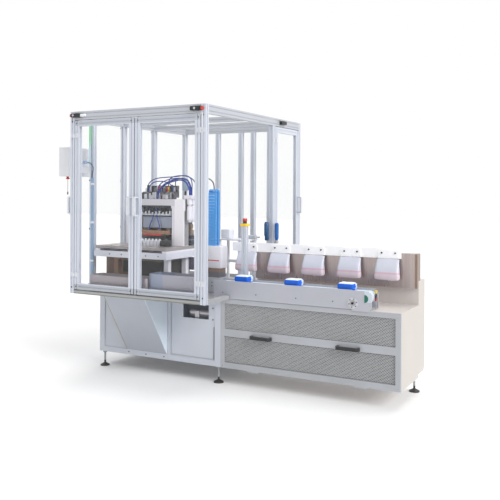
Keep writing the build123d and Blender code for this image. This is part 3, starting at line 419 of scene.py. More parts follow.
# Painted shadow: dark lines along the sill's lower edge and in the gap under the door frames
SILL_SHADOW_LINES = (
    Zone((-1180, -800, 641), (90, -781, 649), srgb(132, 132, 120)),
    Zone((-1180, -800, 665), (90, -779, 671), srgb(112, 112, 104)),
)
SWITCH_ENDS = (
    Zone((-1158, -820, 2010), (-1147.6, -770, 2050), srgb(214, 60, 44)),
    Zone((51.6, -820, 2010), (62, -770, 2050), srgb(214, 60, 44)),
)
GANTRY_FACES = (
    Zone((-482, -350, 1010), (-390, -330, 1385), srgb(253, 250, 254)),
    Zone((-965, -350, 1328), (-482, -330, 1380), srgb(218, 215, 222)),
    Zone((-420, -333, 1014), (-378, -180, 1374), srgb(154, 149, 149)),
)
AIR_BOWL = Zone((85, 260, 1040), (135, 340, 1190), srgb(24, 104, 184))
AIR_CUP = Zone((85, 260, 970), (135, 340, 1040), srgb(190, 186, 180))
TABLE_TOP = Zone((-1100, -590, 984.5), (-385, -170, 1012), srgb(158, 150, 149))
TABLE_APRON = Zone((-1100, -590, 915), (-385, -170, 972), srgb(222, 224, 234))
HOUSING_PARTS = (
    Zone((-880, -530, 894), (-400, -180, 925), srgb(112, 102, 86)),
    Zone((-1010, -530, 640), (-880, -180, 925), srgb(146, 114, 90)),
    Zone((-880, -530, 640), (-800, -180, 800), srgb(110, 88, 74)),
)
HEATER_BAR = Zone((-845, -360, 1095), (-515, -255, 1132), srgb(150, 116, 92))
HEATER_PLATE = Zone((-845, -360, 1150), (-515, -240, 1252), srgb(150, 156, 172))
CABINET_END = Zone((1377.5, -430, 100), (1385, 200, 830), srgb(200, 193, 187))
WALL_END = Zone((1362, -40, 700), (1390, 60, 1100), srgb(140, 120, 107))
PLATE_END = Zone((1129, -436, 700), (1190, -425, 780), srgb(206, 216, 226))
STOP_COLLAR = Zone((60, -300, 1170), (150, -200, 1200.5), srgb(255, 208, 12))
STOP_NECK = Zone((60, -300, 1200.5), (150, -200, 1219), srgb(40, 40, 42))
STRIP_LENGTHS = (
    Zone((-1165, -590, 1600), (-1135, -570, 1800), srgb(172, 200, 214)),
    Zone((-1165, -590, 1800), (-1135, -570, 1845), srgb(122, 196, 164)),
)
REAR_PARTS = (
    Zone((-640, -240, 1000), (-380, -180, 1093), srgb(50, 52, 62)),
    Zone((-640, -240, 1052), (-380, -180, 1060), srgb(120, 122, 134)),
    Zone((-890, -240, 1000), (-640, -220, 1093), srgb(150, 148, 152)),
    Zone((-890, -240, 1240), (-560, -220, 1320), srgb(98, 106, 116)),
    Zone((-540, -215, 640), (-436, -170, 1000), srgb(146, 150, 162)),
    Zone((-436, -215, 800), (-380, -170, 1000), srgb(82, 78, 98)),
)
BEARING_BORE = Zone((1036, -462, 677), (1062, -447.8, 703), srgb(32, 32, 34))
BEARING_RING = Zone((1026, -447.7, 667), (1072, -440.8, 713), srgb(168, 166, 170))
STATION_FEET = (
    Zone((-265, -240, 640), (-115, -120, 768), srgb(172, 175, 182)),
    Zone((-265, -240, 768), (-115, -120, 812), srgb(84, 82, 88)),
)


class Palette:
    """Every finish of the machine, built once."""

    def __init__(self) -> None:
        """Builds the materials."""
        finishes = (*self.sheets(), *self.metals(), *self.plastics(), *self.units(), *self.signals())
        self.made = {finish.name: finish.build() for finish in finishes}
        self.made["bag_film"] = self.pouch_film()

    def __getitem__(self, name: str) -> bpy.types.Material:
        """The material of that name."""
        return self.made[name]

    @staticmethod
    def sheets() -> tuple[Finish, ...]:
        """The coated sheets and the clear panes.

        Returns:
            Their finishes.
        """
        return (
            Finish("paint_grey", srgb(204, 209, 219), srgb(195, 200, 210), roughness=0.45, scale=5, bump=0.03,
                   coat=0.1, zones=(PANEL_MARK,)),
            Finish("cover_grey", srgb(186, 189, 196), srgb(172, 174, 177), roughness=0.5, scale=3, bump=0.03,
                   amount=0.7),
            # Its zones paint light on the chute's right cheek and a shadow line along the chute's left edge
            Finish("panel_blue", srgb(182, 187, 197), srgb(172, 177, 188), roughness=0.45, scale=5, bump=0.03,
                   coat=0.1, zones=(CHUTE_CHEEK_PAINTED_LIGHT, CHUTE_SHADOW_LINE)),
            # Its zones paint shadow lines on the sill
            Finish("sill_grey", srgb(170, 172, 174), srgb(161, 163, 165), roughness=0.45, scale=5, bump=0.03,
                   zones=SILL_SHADOW_LINES),
            Finish("cabinet_white", srgb(216, 210, 205), srgb(206, 198, 196), roughness=0.45, scale=3,
                   amount=0.6, coat=0.05, bump=0.03, zones=(CABINET_END,)),
            Finish("mesh_grey", srgb(196, 198, 200), srgb(186, 188, 189), roughness=0.45, scale=4, bump=0.0,
                   wear=0.0, dust=0.05),
            # Painted shade: near-black sheets behind the perforated sheets stand for the shade inside the
            # cabinet
            Finish("painted_shade_inside", srgb(36, 37, 40), srgb(28, 29, 32), roughness=0.8, scale=8, wear=0.0,
                   dust=0.0),
            Finish("conveyor_grey", srgb(188, 189, 198), srgb(178, 181, 190), roughness=0.45, metallic=0.1,
                   scale=4, bump=0.04, zones=(PLATE_END,)),
            Finish("box_white", srgb(240, 241, 245), srgb(232, 234, 240), roughness=0.4, scale=8, bump=0.05,
                   wear=0.1),
            # Painted light: the carrier rail glows a little, though it is no lamp
            Finish("rail_white", srgb(250, 250, 252), srgb(240, 240, 244), roughness=0.4, scale=5, bump=0.02,
                   wear=0.0, dust=0.0, glow=0.14, zones=CLIP_SCREWS),
            Finish("machine_white", srgb(238, 236, 243), srgb(226, 224, 232), roughness=0.35, scale=6, coat=0.2,
                   bump=0.03, zones=(*GANTRY_FACES, AIR_BOWL, AIR_CUP, TABLE_TOP, TABLE_APRON)),
            Finish("clear_sheet", srgb(236, 242, 246), srgb(226, 234, 240), roughness=0.08, scale=2, amount=0.6,
                   alpha=0.022, bump=0.01, wear=0.0, dust=0.0),
        )

    @staticmethod
    def metals() -> tuple[Finish, ...]:
        """The bare and plated metals.

        Returns:
            Their finishes.
        """
        drawn = Texture.STREAKS
        return (
            Finish("sheet_steel", srgb(192, 190, 194), srgb(168, 165, 168), roughness=0.36, metallic=0.55,
                   texture=drawn, stretch=ALONG_X, bump=0.04),
            Finish("tray_steel", srgb(178, 170, 174), srgb(160, 152, 157), roughness=0.36, metallic=0.35,
                   texture=drawn, stretch=ALONG_X, bump=0.04, zones=TRAY_ENDS),
            Finish("extruded_upright", srgb(214, 219, 229), srgb(204, 209, 220), roughness=0.4, metallic=0.25,
                   texture=drawn, stretch=ALONG_Z, bump=0.03, zones=DOOR_RAILS),
            Finish("rail_profile", srgb(197, 200, 207), srgb(187, 190, 198), roughness=0.4, metallic=0.25,
                   texture=drawn, stretch=LEVEL, bump=0.03),
            Finish("head_steel", srgb(120, 112, 110), srgb(96, 90, 90), roughness=0.35, metallic=0.5,
                   texture=drawn, stretch=ALONG_X, zones=(HEATER_BAR, HEATER_PLATE)),
            Finish("brushed_wall", srgb(184, 171, 167), srgb(164, 152, 150), roughness=0.3, metallic=0.6,
                   texture=drawn, stretch=BRUSHED_DOWN, amount=0.75, bump=0.04, zones=(WALL_END,)),
            Finish("hinge_zinc", srgb(222, 225, 231), srgb(206, 209, 216), roughness=0.35, metallic=0.3,
                   scale=30),
            Finish("dark_screw", srgb(86, 88, 94), srgb(70, 72, 78), roughness=0.35, metallic=0.7, scale=60,
                   wear=0.0),
            Finish("light_screw", srgb(196, 198, 204), srgb(176, 178, 186), roughness=0.3, metallic=0.8,
                   scale=60, wear=0.0),
            Finish("bearing_steel", srgb(204, 206, 212), srgb(180, 182, 188), roughness=0.32, metallic=0.5,
                   scale=40, zones=(BEARING_BORE, BEARING_RING)),
        )

    @staticmethod
    def plastics() -> tuple[Finish, ...]:
        """The plastics, rubbers and films.

        Returns:
            Their finishes.
        """
        return (
            Finish("foot_rubber", srgb(44, 44, 43), srgb(34, 34, 34), roughness=0.55, scale=20, dust=0.06,
                   zones=(FOOT_RODS,)),
            Finish("black_plastic", srgb(34, 35, 38), srgb(46, 47, 50), roughness=0.42, scale=40, bump=0.12,
                   wear=0.1, zones=SWITCH_ENDS),
            Finish("trunk_blue", srgb(146, 176, 208), srgb(132, 162, 196), roughness=0.45, scale=25, wear=0.1),
            Finish("hose_blue", srgb(10, 56, 150), srgb(8, 44, 126), roughness=0.45, scale=60, wear=0.0,
                   dust=0.0),
            Finish("cable_slate", srgb(92, 112, 142), srgb(80, 98, 126), roughness=0.45, scale=60, wear=0.0),
            Finish("cable_grey", srgb(70, 74, 80), srgb(60, 63, 70), roughness=0.5, scale=60, wear=0.0),
            Finish("link_blue", srgb(56, 160, 238), srgb(44, 146, 230), roughness=0.45, scale=30, bump=0.06,
                   wear=0.1, dust=0.0),
            Finish("belt_blue", srgb(206, 218, 228), srgb(192, 206, 218), roughness=0.7, scale=24, bump=0.2,
                   wear=0.0),
            Finish("pack_film", srgb(0, 102, 222), srgb(0, 90, 206), roughness=0.45, scale=30, bump=0.1,
                   wear=0.0, dust=0.0, zones=(PACK_TOPS, *PACK_ENDS)),
            Finish("pulley_green", srgb(20, 110, 92), srgb(16, 96, 82), roughness=0.4, scale=30),
            Finish("nest_white", srgb(232, 234, 240), srgb(206, 210, 220), roughness=0.4, scale=20, bump=0.2),
            Finish("bowl_grey", srgb(168, 184, 198), srgb(140, 158, 174), roughness=0.2, scale=20, wear=0.0,
                   dust=0.0),
            Finish("bowl_dark", srgb(40, 92, 140), srgb(28, 66, 104), roughness=0.3, scale=20, wear=0.0),
        )

    @staticmethod
    def units() -> tuple[Finish, ...]:
        """The covers and mixed units inside the cell.

        Returns:
            Their finishes.
        """
        return (
            Finish("dark_cover", srgb(56, 49, 47), srgb(34, 31, 32), roughness=0.75, scale=9, amount=0.8,
                   dust=0.05, zones=HOUSING_PARTS),
            Finish("brown_cover", srgb(126, 92, 72), srgb(98, 72, 58), roughness=0.5, scale=14, wear=0.1,
                   zones=STATION_FEET),
            Finish("valve_mix", srgb(138, 138, 144), srgb(40, 40, 44), roughness=0.4, metallic=0.3, scale=34,
                   amount=1.0, bump=0.2, dust=0.0),
            Finish("rear_mix", srgb(160, 140, 122), srgb(104, 92, 84), roughness=0.45, scale=14, amount=0.9,
                   bump=0.1, dust=0.0, zones=REAR_PARTS),
        )

    @staticmethod
    def signals() -> tuple[Finish, ...]:
        """The lamps, stops and marks.

        Returns:
            Their finishes.
        """
        return (
            Finish("lens_stack", srgb(150, 152, 158), srgb(120, 122, 128), roughness=0.25, scale=30, glow=0.12,
                   wear=0.0, zones=LENSES),
            Finish("stop_red", srgb(206, 40, 34), srgb(190, 32, 30), roughness=0.3, scale=40, coat=0.4,
                   wear=0.0, zones=(STOP_COLLAR, STOP_NECK)),
            Finish("signal_green", srgb(60, 186, 96), srgb(110, 204, 160), roughness=0.3, scale=3, glow=0.35,
                   wear=0.0, dust=0.0, zones=STRIP_LENGTHS),
            Finish("mark_yellow", srgb(240, 206, 52), srgb(230, 194, 44), roughness=0.4, scale=30),
        )

    @staticmethod
    def pouch_film() -> bpy.types.Material:
        """The pouches' film: white, with a rose line and a rose foot.

        Returns:
            The material.
        """
        base = Finish("bag_film", srgb(213, 215, 228), srgb(202, 205, 219), roughness=0.4, scale=9, coat=0.1,
                      bump=0.15, wear=0.0, dust=0.0).build()
        w = Wiring(base.node_tree)
        shader = base.node_tree.nodes["Principled BSDF"]
        before = shader.inputs["Base Color"].links[0].from_socket
        where = w.node("ShaderNodeTexCoord").outputs["Object"]
        height = w.node("ShaderNodeSeparateXYZ", {0: where}).outputs["Z"]
        wavy = w.maths("ADD", height, w.maths("MULTIPLY", w.maths("SUBTRACT", w.noise(where, 9.0), 0.5), 0.008))
        foot = w.node("ShaderNodeMapRange", {"Value": wavy, "From Min": 0.872, "From Max": 0.862}).outputs[0]
        tint = w.mix(foot, before, srgb(221, 207, 217))
        off = w.maths("ABSOLUTE", w.maths("SUBTRACT", wavy, 0.868))
        line = w.node("ShaderNodeMapRange", {"Value": off, "From Min": 0.0075, "From Max": 0.002}).outputs[0]
        w.fill(shader, {"Base Color": w.mix(line, tint, srgb(222, 178, 194))})
        return base


# Mesh making


@dataclass(frozen=True)
class Block:
    """A block between two corners, with its edges rounded, in millimetres."""

    low: Point
    high: Point
    edge: float = 1.5


@dataclass(frozen=True)
class Turning:
    """A form turned round an axis: pairs of radius and height, and where height 0 is, in millimetres."""

    profile: Profile
    foot: Point
    axis: Axis = Axis.Z
    sides: int = 24


class Form:
    """Collects closed forms into one mesh, in millimetres of the machine's frame."""

    def __init__(self) -> None:
        """Starts with nothing in it."""
        self.mesh = bmesh.new()

    def add(self, *shapes: Block | Turning) -> "Form":
        """Adds simple shapes.

        Args:
            shapes: the shapes, in order.

        Returns:
            This form.
        """
        for shape in shapes:
            if isinstance(shape, Block):
                self.block(shape)
            else:
                self.turned(shape)
        return self

    def block(self, shape: Block) -> None:
        """Adds a block with rounded edges.

        Args:
            shape: its corners and its rounding.
        """
        middle = (Vector(shape.low) + Vector(shape.high)) / 2
        size = Vector(shape.high) - Vector(shape.low)
        place = Matrix.Translation(middle) @ Matrix.Diagonal((*size, 1.0))
        made = bmesh.ops.create_cube(self.mesh, size=1.0, matrix=place)
        edges = list({e for v in made["verts"] for e in v.link_edges})
        bmesh.ops.bevel(self.mesh, geom=edges, offset=min(shape.edge, min(size) / 2.5), segments=2,
                        affect="EDGES", profile=0.5)

    def turned(self, shape: Turning) -> None:
        """Adds a form turned round an axis.

        Args:
            shape: its profile, place, axis and number of sides.
        """
        turn = Vector((0, 0, 1)).rotation_difference(shape.axis.value).to_matrix()
        rings = []
        for radius, height in shape.profile:
            ring = []
            for k in range(shape.sides if radius > 0 else 1):
                angle = 2 * math.pi * k / shape.sides
                local = Vector((radius * math.cos(angle), radius * math.sin(angle), height))
                ring.append(self.mesh.verts.new(turn @ local + Vector(shape.foot)))
            rings.append(ring)
        for low, high in zip(rings, rings[1:]):
            for k in range(shape.sides):
                n = k + 1
                corners = [low[k % len(low)], low[n % len(low)], high[n % len(high)], high[k % len(high)]]
                unique = list(dict.fromkeys(corners))
                if len(unique) > 2:
                    self.mesh.faces.new(unique)
        for ring in (rings[0], rings[-1]):
            if len(ring) > 2:
                self.mesh.faces.new(ring)

    def skin(self, rings: Sequence[Sequence[Point]]) -> "Form":
        """Adds a skin over closed rings of equal length, capped at both ends.

        Args:
            rings: the points of each ring.

        Returns:
            This form.
        """
        rows = [[self.mesh.verts.new(p) for p in ring] for ring in rings]
        count = len(rows[0])
        for low, high in zip(rows, rows[1:]):
            for k in range(count):
                n = (k + 1) % count
                self.mesh.faces.new((low[k], low[n], high[n], high[k]))
        for ring in (rows[0], rows[-1]):
            self.mesh.faces.new(ring)
        return self

    def finish(self, name: str, material: bpy.types.Material, smooth: float = SMOOTH_BELOW) -> bpy.types.Object:
        """Turns the form into an object.

        Args:
            name: the object's name.
            material: its finish.
            smooth: faces that meet flatter than this many degrees are shaded as one.

        Returns:
            The object, at the origin, in metres.
        """
        bmesh.ops.remove_doubles(self.mesh, verts=self.mesh.verts, dist=WELD)
        bmesh.ops.recalc_face_normals(self.mesh, faces=self.mesh.faces)
        bmesh.ops.scale(self.mesh, vec=[1 / METRE] * 3, verts=self.mesh.verts)
        data = bpy.data.meshes.new(name)
        self.mesh.to_mesh(data)
        self.mesh.free()
        data.materials.append(material)
        made = bpy.data.objects.new(name, data)
        bpy.context.collection.objects.link(made)
        data.shade_smooth()
        data.set_sharp_from_angle(angle=math.radians(smooth))
        return made


# Geometry node makers


class Grower:
    """Runs a geometry node tree once and keeps its result as a plain mesh."""

    def __init__(self, name: str, sizes: dict[str, float], material: bpy.types.Material) -> None:
        """Makes an empty tree with named sizes.

        Args:
            name: the tree's name.
            sizes: its named inputs and their values.
            material: what its result is finished with.
        """
        self.name = name
        self.sizes = sizes
        self.material = material
        self.tree = bpy.data.node_groups.new(name, "GeometryNodeTree")
        face = self.tree.interface
        face.new_socket(name="Geometry", in_out="INPUT", socket_type="NodeSocketGeometry")
        for size in sizes:
            face.new_socket(name=size, in_out="INPUT", socket_type="NodeSocketFloat")
        face.new_socket(name="Geometry", in_out="OUTPUT", socket_type="NodeSocketGeometry")
        self.wiring = Wiring(self.tree)
        self.given = self.wiring.node("NodeGroupInput").outputs

    def join(self, *parts: Output) -> Output:
        """Joins geometries.

        Args:
            parts: what is joined, in order.

        Returns:
            All of them as one.
        """
        joined = self.wiring.node("GeometryNodeJoinGeometry")
        for part in parts:
            self.tree.links.new(part, joined.inputs[0])
        return joined.outputs[0]

    def raise_faces(self, mesh: Output, height: object, top: Output | None = None) -> tuple[Output, Output]:
        """Extrudes faces.

        Args:
            mesh: the mesh.
            height: how far they are moved.
            top: which faces, or None for all.

        Returns:
            The mesh and which of its faces are now the top.
        """
        inputs = {"Mesh": mesh, "Offset Scale": height}
        if top is not None:
            inputs["Selection"] = top
        made = self.wiring.node("GeometryNodeExtrudeMesh", inputs, mode="FACES").outputs
        return made["Mesh"], made["Top"]

    def inset(self, mesh: Output, scale: object, top: Output | None = None) -> tuple[Output, Output]:
        """Draws a smaller or a larger face round the middle of each face.

        Args:
            mesh: the mesh.
            scale: how large the new faces are.
            top: which faces, or None for all.

        Returns:
            The mesh and which of its faces are the new ones.
        """
        flat, new = self.raise_faces(mesh, 0.0, top)
        inputs = {"Geometry": flat, "Selection": new, "Scale": scale}
        return self.wiring.node("GeometryNodeScaleElements", inputs, domain="FACE").outputs[0], new

    def stand(self, instance: Output, across: Point | None = None) -> None:
        """Puts one geometry on every seed point, turned to the point's direction, and closes the tree.

        Args:
            instance: the geometry that repeats.
            across: the direction that its own X axis is turned to as well, or None.
        """
        w = self.wiring
        way = w.node("GeometryNodeInputNamedAttribute", {"Name": "facing"}, data_type="FLOAT_VECTOR").outputs[0]
        turn = w.node("FunctionNodeAlignRotationToVector", {"Vector": way}, axis="Z").outputs[0]
        if across is not None:
            turn = w.node("FunctionNodeAlignRotationToVector", {"Rotation": turn, "Vector": across}, axis="X",
                          pivot_axis="Z").outputs[0]
        placed = w.node("GeometryNodeInstanceOnPoints", {"Points": self.given["Geometry"], "Instance": instance,
                                                         "Rotation": turn}).outputs[0]
        real = w.node("GeometryNodeRealizeInstances", {"Geometry": placed}).outputs[0]
        done = w.node("GeometryNodeSetMaterial", {"Geometry": real, "Material": self.material}).outputs[0]
        w.tree.links.new(done, w.node("NodeGroupOutput").inputs[0])

    def grow(self, points: Iterable[Point], facing: Iterable[Point]) -> bpy.types.Object:
        """Evaluates the tree on loose points.

        Args:
            points: their places in millimetres.
            facing: the direction of each.

        Returns:
            A plain object with the result.
        """
        seed = bpy.data.meshes.new("seed")
        seed.from_pydata([metres(*p) for p in points], [], [])
        ways = seed.attributes.new("facing", "FLOAT_VECTOR", "POINT")
        for item, way in zip(ways.data, facing):
            item.vector = way
        carrier = bpy.data.objects.new(self.name, seed)
        bpy.context.collection.objects.link(carrier)
        made = carrier.modifiers.new("grow", "NODES")
        made.node_group = self.tree
        for item in self.tree.interface.items_tree:
            if item.in_out == "INPUT" and item.name in self.sizes:
                made[item.identifier] = float(self.sizes[item.name])
        depsgraph = bpy.context.evaluated_depsgraph_get()
        depsgraph.update()
        result = bpy.data.meshes.new_from_object(carrier.evaluated_get(depsgraph), depsgraph=depsgraph)
        carrier.modifiers.clear()
        carrier.data = result
        result.shade_smooth()
        result.set_sharp_from_angle(angle=math.radians(SMOOTH_BELOW))
        return carrier


@dataclass
class Fasteners:
    """Socket screws of one size and kind, on one body."""

    name: str
    material: str
    radius: float
    height: float
    sides: int = 12
    socket_width: float = 0.52
    socket_depth: float = 0.6
    places: list[tuple[Point, Facing]] = field(default_factory=list)

    def row(self, facing: Facing, *points: Point) -> None:
        """Adds screws that face one way."""
        self.places += [(point, facing) for point in points]

    def build(self, palette: Palette, slot: str, body: str = "machine") -> bpy.types.Object:
        """Grows the screws at their places.

        Args:
            palette: the finishes.
            slot: not used.
            body: the body that they ride on.

        Returns:
            The finished object.
        """
        sizes = {"Radius": self.radius / METRE, "Height": self.height / METRE, "Socket": self.socket_width}
        maker = Grower(self.name, sizes, palette[self.material])
        w, given = maker.wiring, maker.given
        disc = w.node("GeometryNodeMeshCircle", {"Vertices": self.sides, "Radius": given["Radius"]},
                      fill_type="NGON").outputs[0]
        base = w.node("GeometryNodeFlipFaces", {"Mesh": disc}).outputs[0]
        inset, middle = maker.inset(*self.head(maker, disc))
        deep = w.maths("MULTIPLY", given["Height"], -self.socket_depth)
        maker.stand(maker.join(base, maker.raise_faces(inset, deep, middle)[0]))
        made = maker.grow([p for p, _ in self.places], [f.value for _, f in self.places])
        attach(made, body)
        LOG.info("made %s on %s", self.name, body)
        return made

    @staticmethod
    def head(maker: Grower, disc: Output) -> tuple[Output, Output, Output]:
        """Raises the head from its disc: the mesh, how wide its socket is and the faces on top."""
        mesh, top = maker.raise_faces(disc, maker.given["Height"])
        return mesh, maker.given["Socket"], top


# Sub-assemblies


@dataclass
class SubAssembly:
    """What every sub-assembly of the machine shares."""

    palette: Palette

    def dress(self, finish: str, *nodes: str) -> None:
        """Gives CAD nodes their finish.

        Args:
            finish: the finish's name.
            nodes: the nodes' names.
        """
        for name in nodes:
            slots = NODES[name].data.materials
            slots.clear()
            slots.append(self.palette[finish])
            LOG.info("dressed %s with %s", name, finish)

    def keep(self, piece: bpy.types.Object, slot: str, replaces: Sequence[str] = ()) -> None:
        """Lets a new piece ride on the machine.

        Args:
            piece: the finished piece.
            slot: not used.
            replaces: the CAD nodes that it stands for.
        """
        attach(piece, "machine")
        if replaces:
            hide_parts(*replaces)
        LOG.info("made %s on machine", piece.name)

    def piece(self, name: str, finish: str, slot: str, *shapes: Block | Turning) -> None:
        """Makes one piece of the machine from simple shapes, in a finish."""
        self.keep(Form().add(*shapes).finish(name, self.palette[finish]), slot)

    def filled_film(self, name: str, finish: str, rings: Sequence[Sequence[Point]]) -> bpy.types.Object:
        """Makes a filled pouch or pack, with one level of subdivision.

        Args:
            name: the piece's name.
            finish: the finish's name.
            rings: the rings of its skin.

        Returns:
            The finished piece.
        """
        made = Form().skin(rings).finish(name, self.palette[finish], smooth=60.0)
        fine = made.modifiers.new("fine", "SUBSURF")
        fine.levels = fine.render_levels = 1
        return made


@dataclass
class Viewpoint:
    """The camera, at the photograph's viewing angle."""

    place: Point = (2.730, -5.0305, 1.438)
    azimuth: float = 28.38
    pitch: float = 0.0
    roll: float = 0.3
    lens: float = 51.25
    sensor: float = 36.0
    shift: float = -0.115
    reach: float = 100.0

    def build(self) -> None:
        """Makes the camera and sets it."""
        data = bpy.data.cameras.new("viewpoint")
        data.lens = self.lens
        data.sensor_width = self.sensor
        data.sensor_fit = "HORIZONTAL"
        data.shift_y = self.shift
        data.clip_end = self.reach
        camera = bpy.data.objects.new("viewpoint", data)
        turn = Matrix.Rotation(math.radians(self.azimuth), 4, "Z")
        tilt = Matrix.Rotation(math.radians(90 + self.pitch), 4, "X")
        lean = Matrix.Rotation(math.radians(self.roll), 4, "Z")
        camera.matrix_world = Matrix.Translation(self.place) @ turn @ tilt @ lean
        bpy.context.collection.objects.link(camera)
        bpy.context.scene.camera = camera


@dataclass
class Line:
    """One free hose or cable: its length and diameter and the points that its spline is drawn by, in metres."""

    name: str
    diameter: float
    length: float
    side: float | None
    points: tuple[tuple[float, ...], ...]
    finish: str = "hose_blue"

    def route(self) -> list[Point]:
        """Puts the side plane into points that all lie in one.

        Returns:
            The points with all three coordinates.
        """
        if self.side is None:
            return list(self.points)
        return [(x, self.side, z) for x, z in self.points]


@dataclass
class Hoses(SubAssembly):
    """The air hoses over the gantry and the cable of the control box."""

    quarter_sides: int = 4
    steps: int = 10
    order: int = 3
    control_cable: str = "cable_of_controls"
    lines: tuple[Line, ...] = (
        Line("hose_far", 0.008, 0.6361, -0.2675, (
            (-0.805, 1.440), (-0.805, 1.482), (-0.777, 1.525), (-0.717, 1.551), (-0.622, 1.558),
            (-0.525, 1.562), (-0.440, 1.573), (-0.386, 1.560), (-0.366, 1.515), (-0.368, 1.455),
            (-0.368, 1.413))),
        Line("hose_middle", 0.008, 0.4700, -0.2845, (
            (-0.687, 1.440), (-0.687, 1.478), (-0.655, 1.512), (-0.604, 1.535), (-0.532, 1.548),
            (-0.465, 1.552), (-0.410, 1.540), (-0.380, 1.503), (-0.372, 1.455), (-0.372, 1.413))),
        Line("hose_near", 0.008, 0.3352, -0.3015, (
            (-0.763, 1.440), (-0.763, 1.468), (-0.753, 1.493), (-0.729, 1.513), (-0.688, 1.524),
            (-0.640, 1.526), (-0.594, 1.519), (-0.554, 1.504), (-0.534, 1.480), (-0.528, 1.457),
            (-0.528, 1.440))),
        Line("hose_trunk", 0.012, 0.4672, -0.3285, (
            (-0.655, 1.381), (-0.655, 1.425), (-0.623, 1.472), (-0.570, 1.506), (-0.500, 1.527),
            (-0.435, 1.538), (-0.387, 1.522), (-0.358, 1.482), (-0.350, 1.440), (-0.350, 1.413))),
        Line("hose_left_drop", 0.008, 0.2100, -0.3305, (
            (-0.688, 1.330), (-0.688, 1.290), (-0.695, 1.250), (-0.710, 1.212), (-0.728, 1.178),
            (-0.737, 1.152), (-0.737, 1.129))),
        Line("hose_right_drop", 0.008, 0.2061, -0.3305, (
            (-0.670, 1.330), (-0.670, 1.290), (-0.665, 1.247), (-0.653, 1.208), (-0.639, 1.175),
            (-0.634, 1.150), (-0.634, 1.129))),
        Line("hose_back", 0.008, 0.4264, -0.2450, (
            (-0.610, 1.490), (-0.610, 1.524), (-0.590, 1.553), (-0.545, 1.568), (-0.487, 1.572),
            (-0.427, 1.566), (-0.377, 1.545), (-0.347, 1.508), (-0.340, 1.455), (-0.340, 1.413))),
        Line("hose_bundle", 0.010, 0.4372, -0.3145, (
            (-0.640, 1.440), (-0.640, 1.464), (-0.612, 1.498), (-0.560, 1.522), (-0.495, 1.543),
            (-0.430, 1.551), (-0.376, 1.533), (-0.350, 1.492), (-0.344, 1.446), (-0.344, 1.413))),
        Line("cable_of_valves", 0.008, 0.2802, -0.2560, (
            (-0.535, 1.490), (-0.535, 1.522), (-0.516, 1.549), (-0.482, 1.553), (-0.455, 1.532),
            (-0.442, 1.490), (-0.438, 1.440), (-0.438, 1.381)), "cable_grey"),
        Line("cable_of_chain", 0.010, 0.3058, None, (
            (-0.213, -0.1825, 1.458), (-0.213, -0.1825, 1.495), (-0.226, -0.190, 1.529),
            (-0.255, -0.207, 1.550), (-0.289, -0.227, 1.550), (-0.318, -0.2445, 1.527),
            (-0.331, -0.2525, 1.492), (-0.332, -0.2535, 1.450), (-0.332, -0.2535, 1.413)), "cable_grey"),
        Line("cable_of_controls", 0.010, 0.1772, None, (
            (-1.1343, -0.6405, 1.672), (-1.1343, -0.6165, 1.672), (-1.1313, -0.5935, 1.668),
            (-1.1273, -0.5745, 1.653), (-1.1263, -0.5635, 1.629), (-1.1323, -0.5625, 1.600),
            (-1.1393, -0.5635, 1.574), (-1.1393, -0.5635, 1.550)), "cable_slate"),
    )

    def build(self) -> None:
        for line in self.lines:
            piece = self.draw(line)
            stands_for = "control_cable" if line.name == self.control_cable else "air_hoses"
            self.keep(piece, "hose_blue", (stands_for,))
            line.route()[0]

    def draw(self, line: Line) -> bpy.types.Object:
        """Draws a line as one open spline.

        Args:
            line: the hose or cable.

        Returns:
            The finished curve.
        """
        data = bpy.data.curves.new(line.name, "CURVE")
        data.dimensions = "3D"
        data.bevel_depth = line.diameter / 2
        data.bevel_resolution = self.quarter_sides
        data.resolution_u = self.steps
        data.use_fill_caps = True
        spline = data.splines.new("NURBS")
        spline.points.add(len(line.points) - 1)
        for point, place in zip(spline.points, line.route()):
            point.co = (*place, 1.0)
        spline.order_u = self.order
        spline.use_endpoint_u = True
        data.materials.append(self.palette[line.finish])
        made = bpy.data.objects.new(line.name, data)
        bpy.context.collection.objects.link(made)
        return made


@dataclass
class Base(SubAssembly):
    """Feet, legs, rails, panels, chute and the filter behind the cut-out."""

    front: float = -427.5
    rail_bolts: Profile = ((-861.6, 147.0), (-691.9, 145.0), (-517.4, 145.0))
    leg_bolts: Profile = ((-79.7, 757.0), (-79.7, 731.0), (-69.5, 561.0), (-69.5, 474.0))
    seams: tuple[Block, ...] = (
        Block((-451.5, -427.7, 176.0), (-448.5, -426.0, 596.0), 0.4),
        Block((-451.5, -427.7, 174.0), (-62.0, -426.0, 177.0), 0.4),
    )
    gap: Block = Block((-62.5, -427.8, 174.0), (-58.5, -426.0, 420.0), 0.4)
    stop: Block = Block((-60.0, -431.0, 622.0), (-24.0, -424.0, 642.0), 2.0)

    def build(self) -> None:
        """Dresses the base and adds its bolts, seams and stop."""
        self.dress("foot_rubber", "levelling_feet")
        self.dress("paint_grey", "base_legs", "base_rails", "base_panels")
        self.dress("panel_blue", "chute")
        self.dress("sheet_steel", "vacuum_filter", "cell_floor")
        bolts = Fasteners("rail_bolts", "dark_screw", radius=5.0, height=2.5)
        bolts.row(Facing.FRONT, *((x, self.front, z) for x, z in self.rail_bolts + self.leg_bolts))
        bolts.build(self.palette, "paint_grey")
        self.piece("panel_seams", "sill_grey", "paint_grey", *self.seams)
        self.piece("panel_gap", "dark_screw", "paint_grey", self.gap)
        self.piece("leg_stop", "black_plastic", "black_plastic", self.stop)


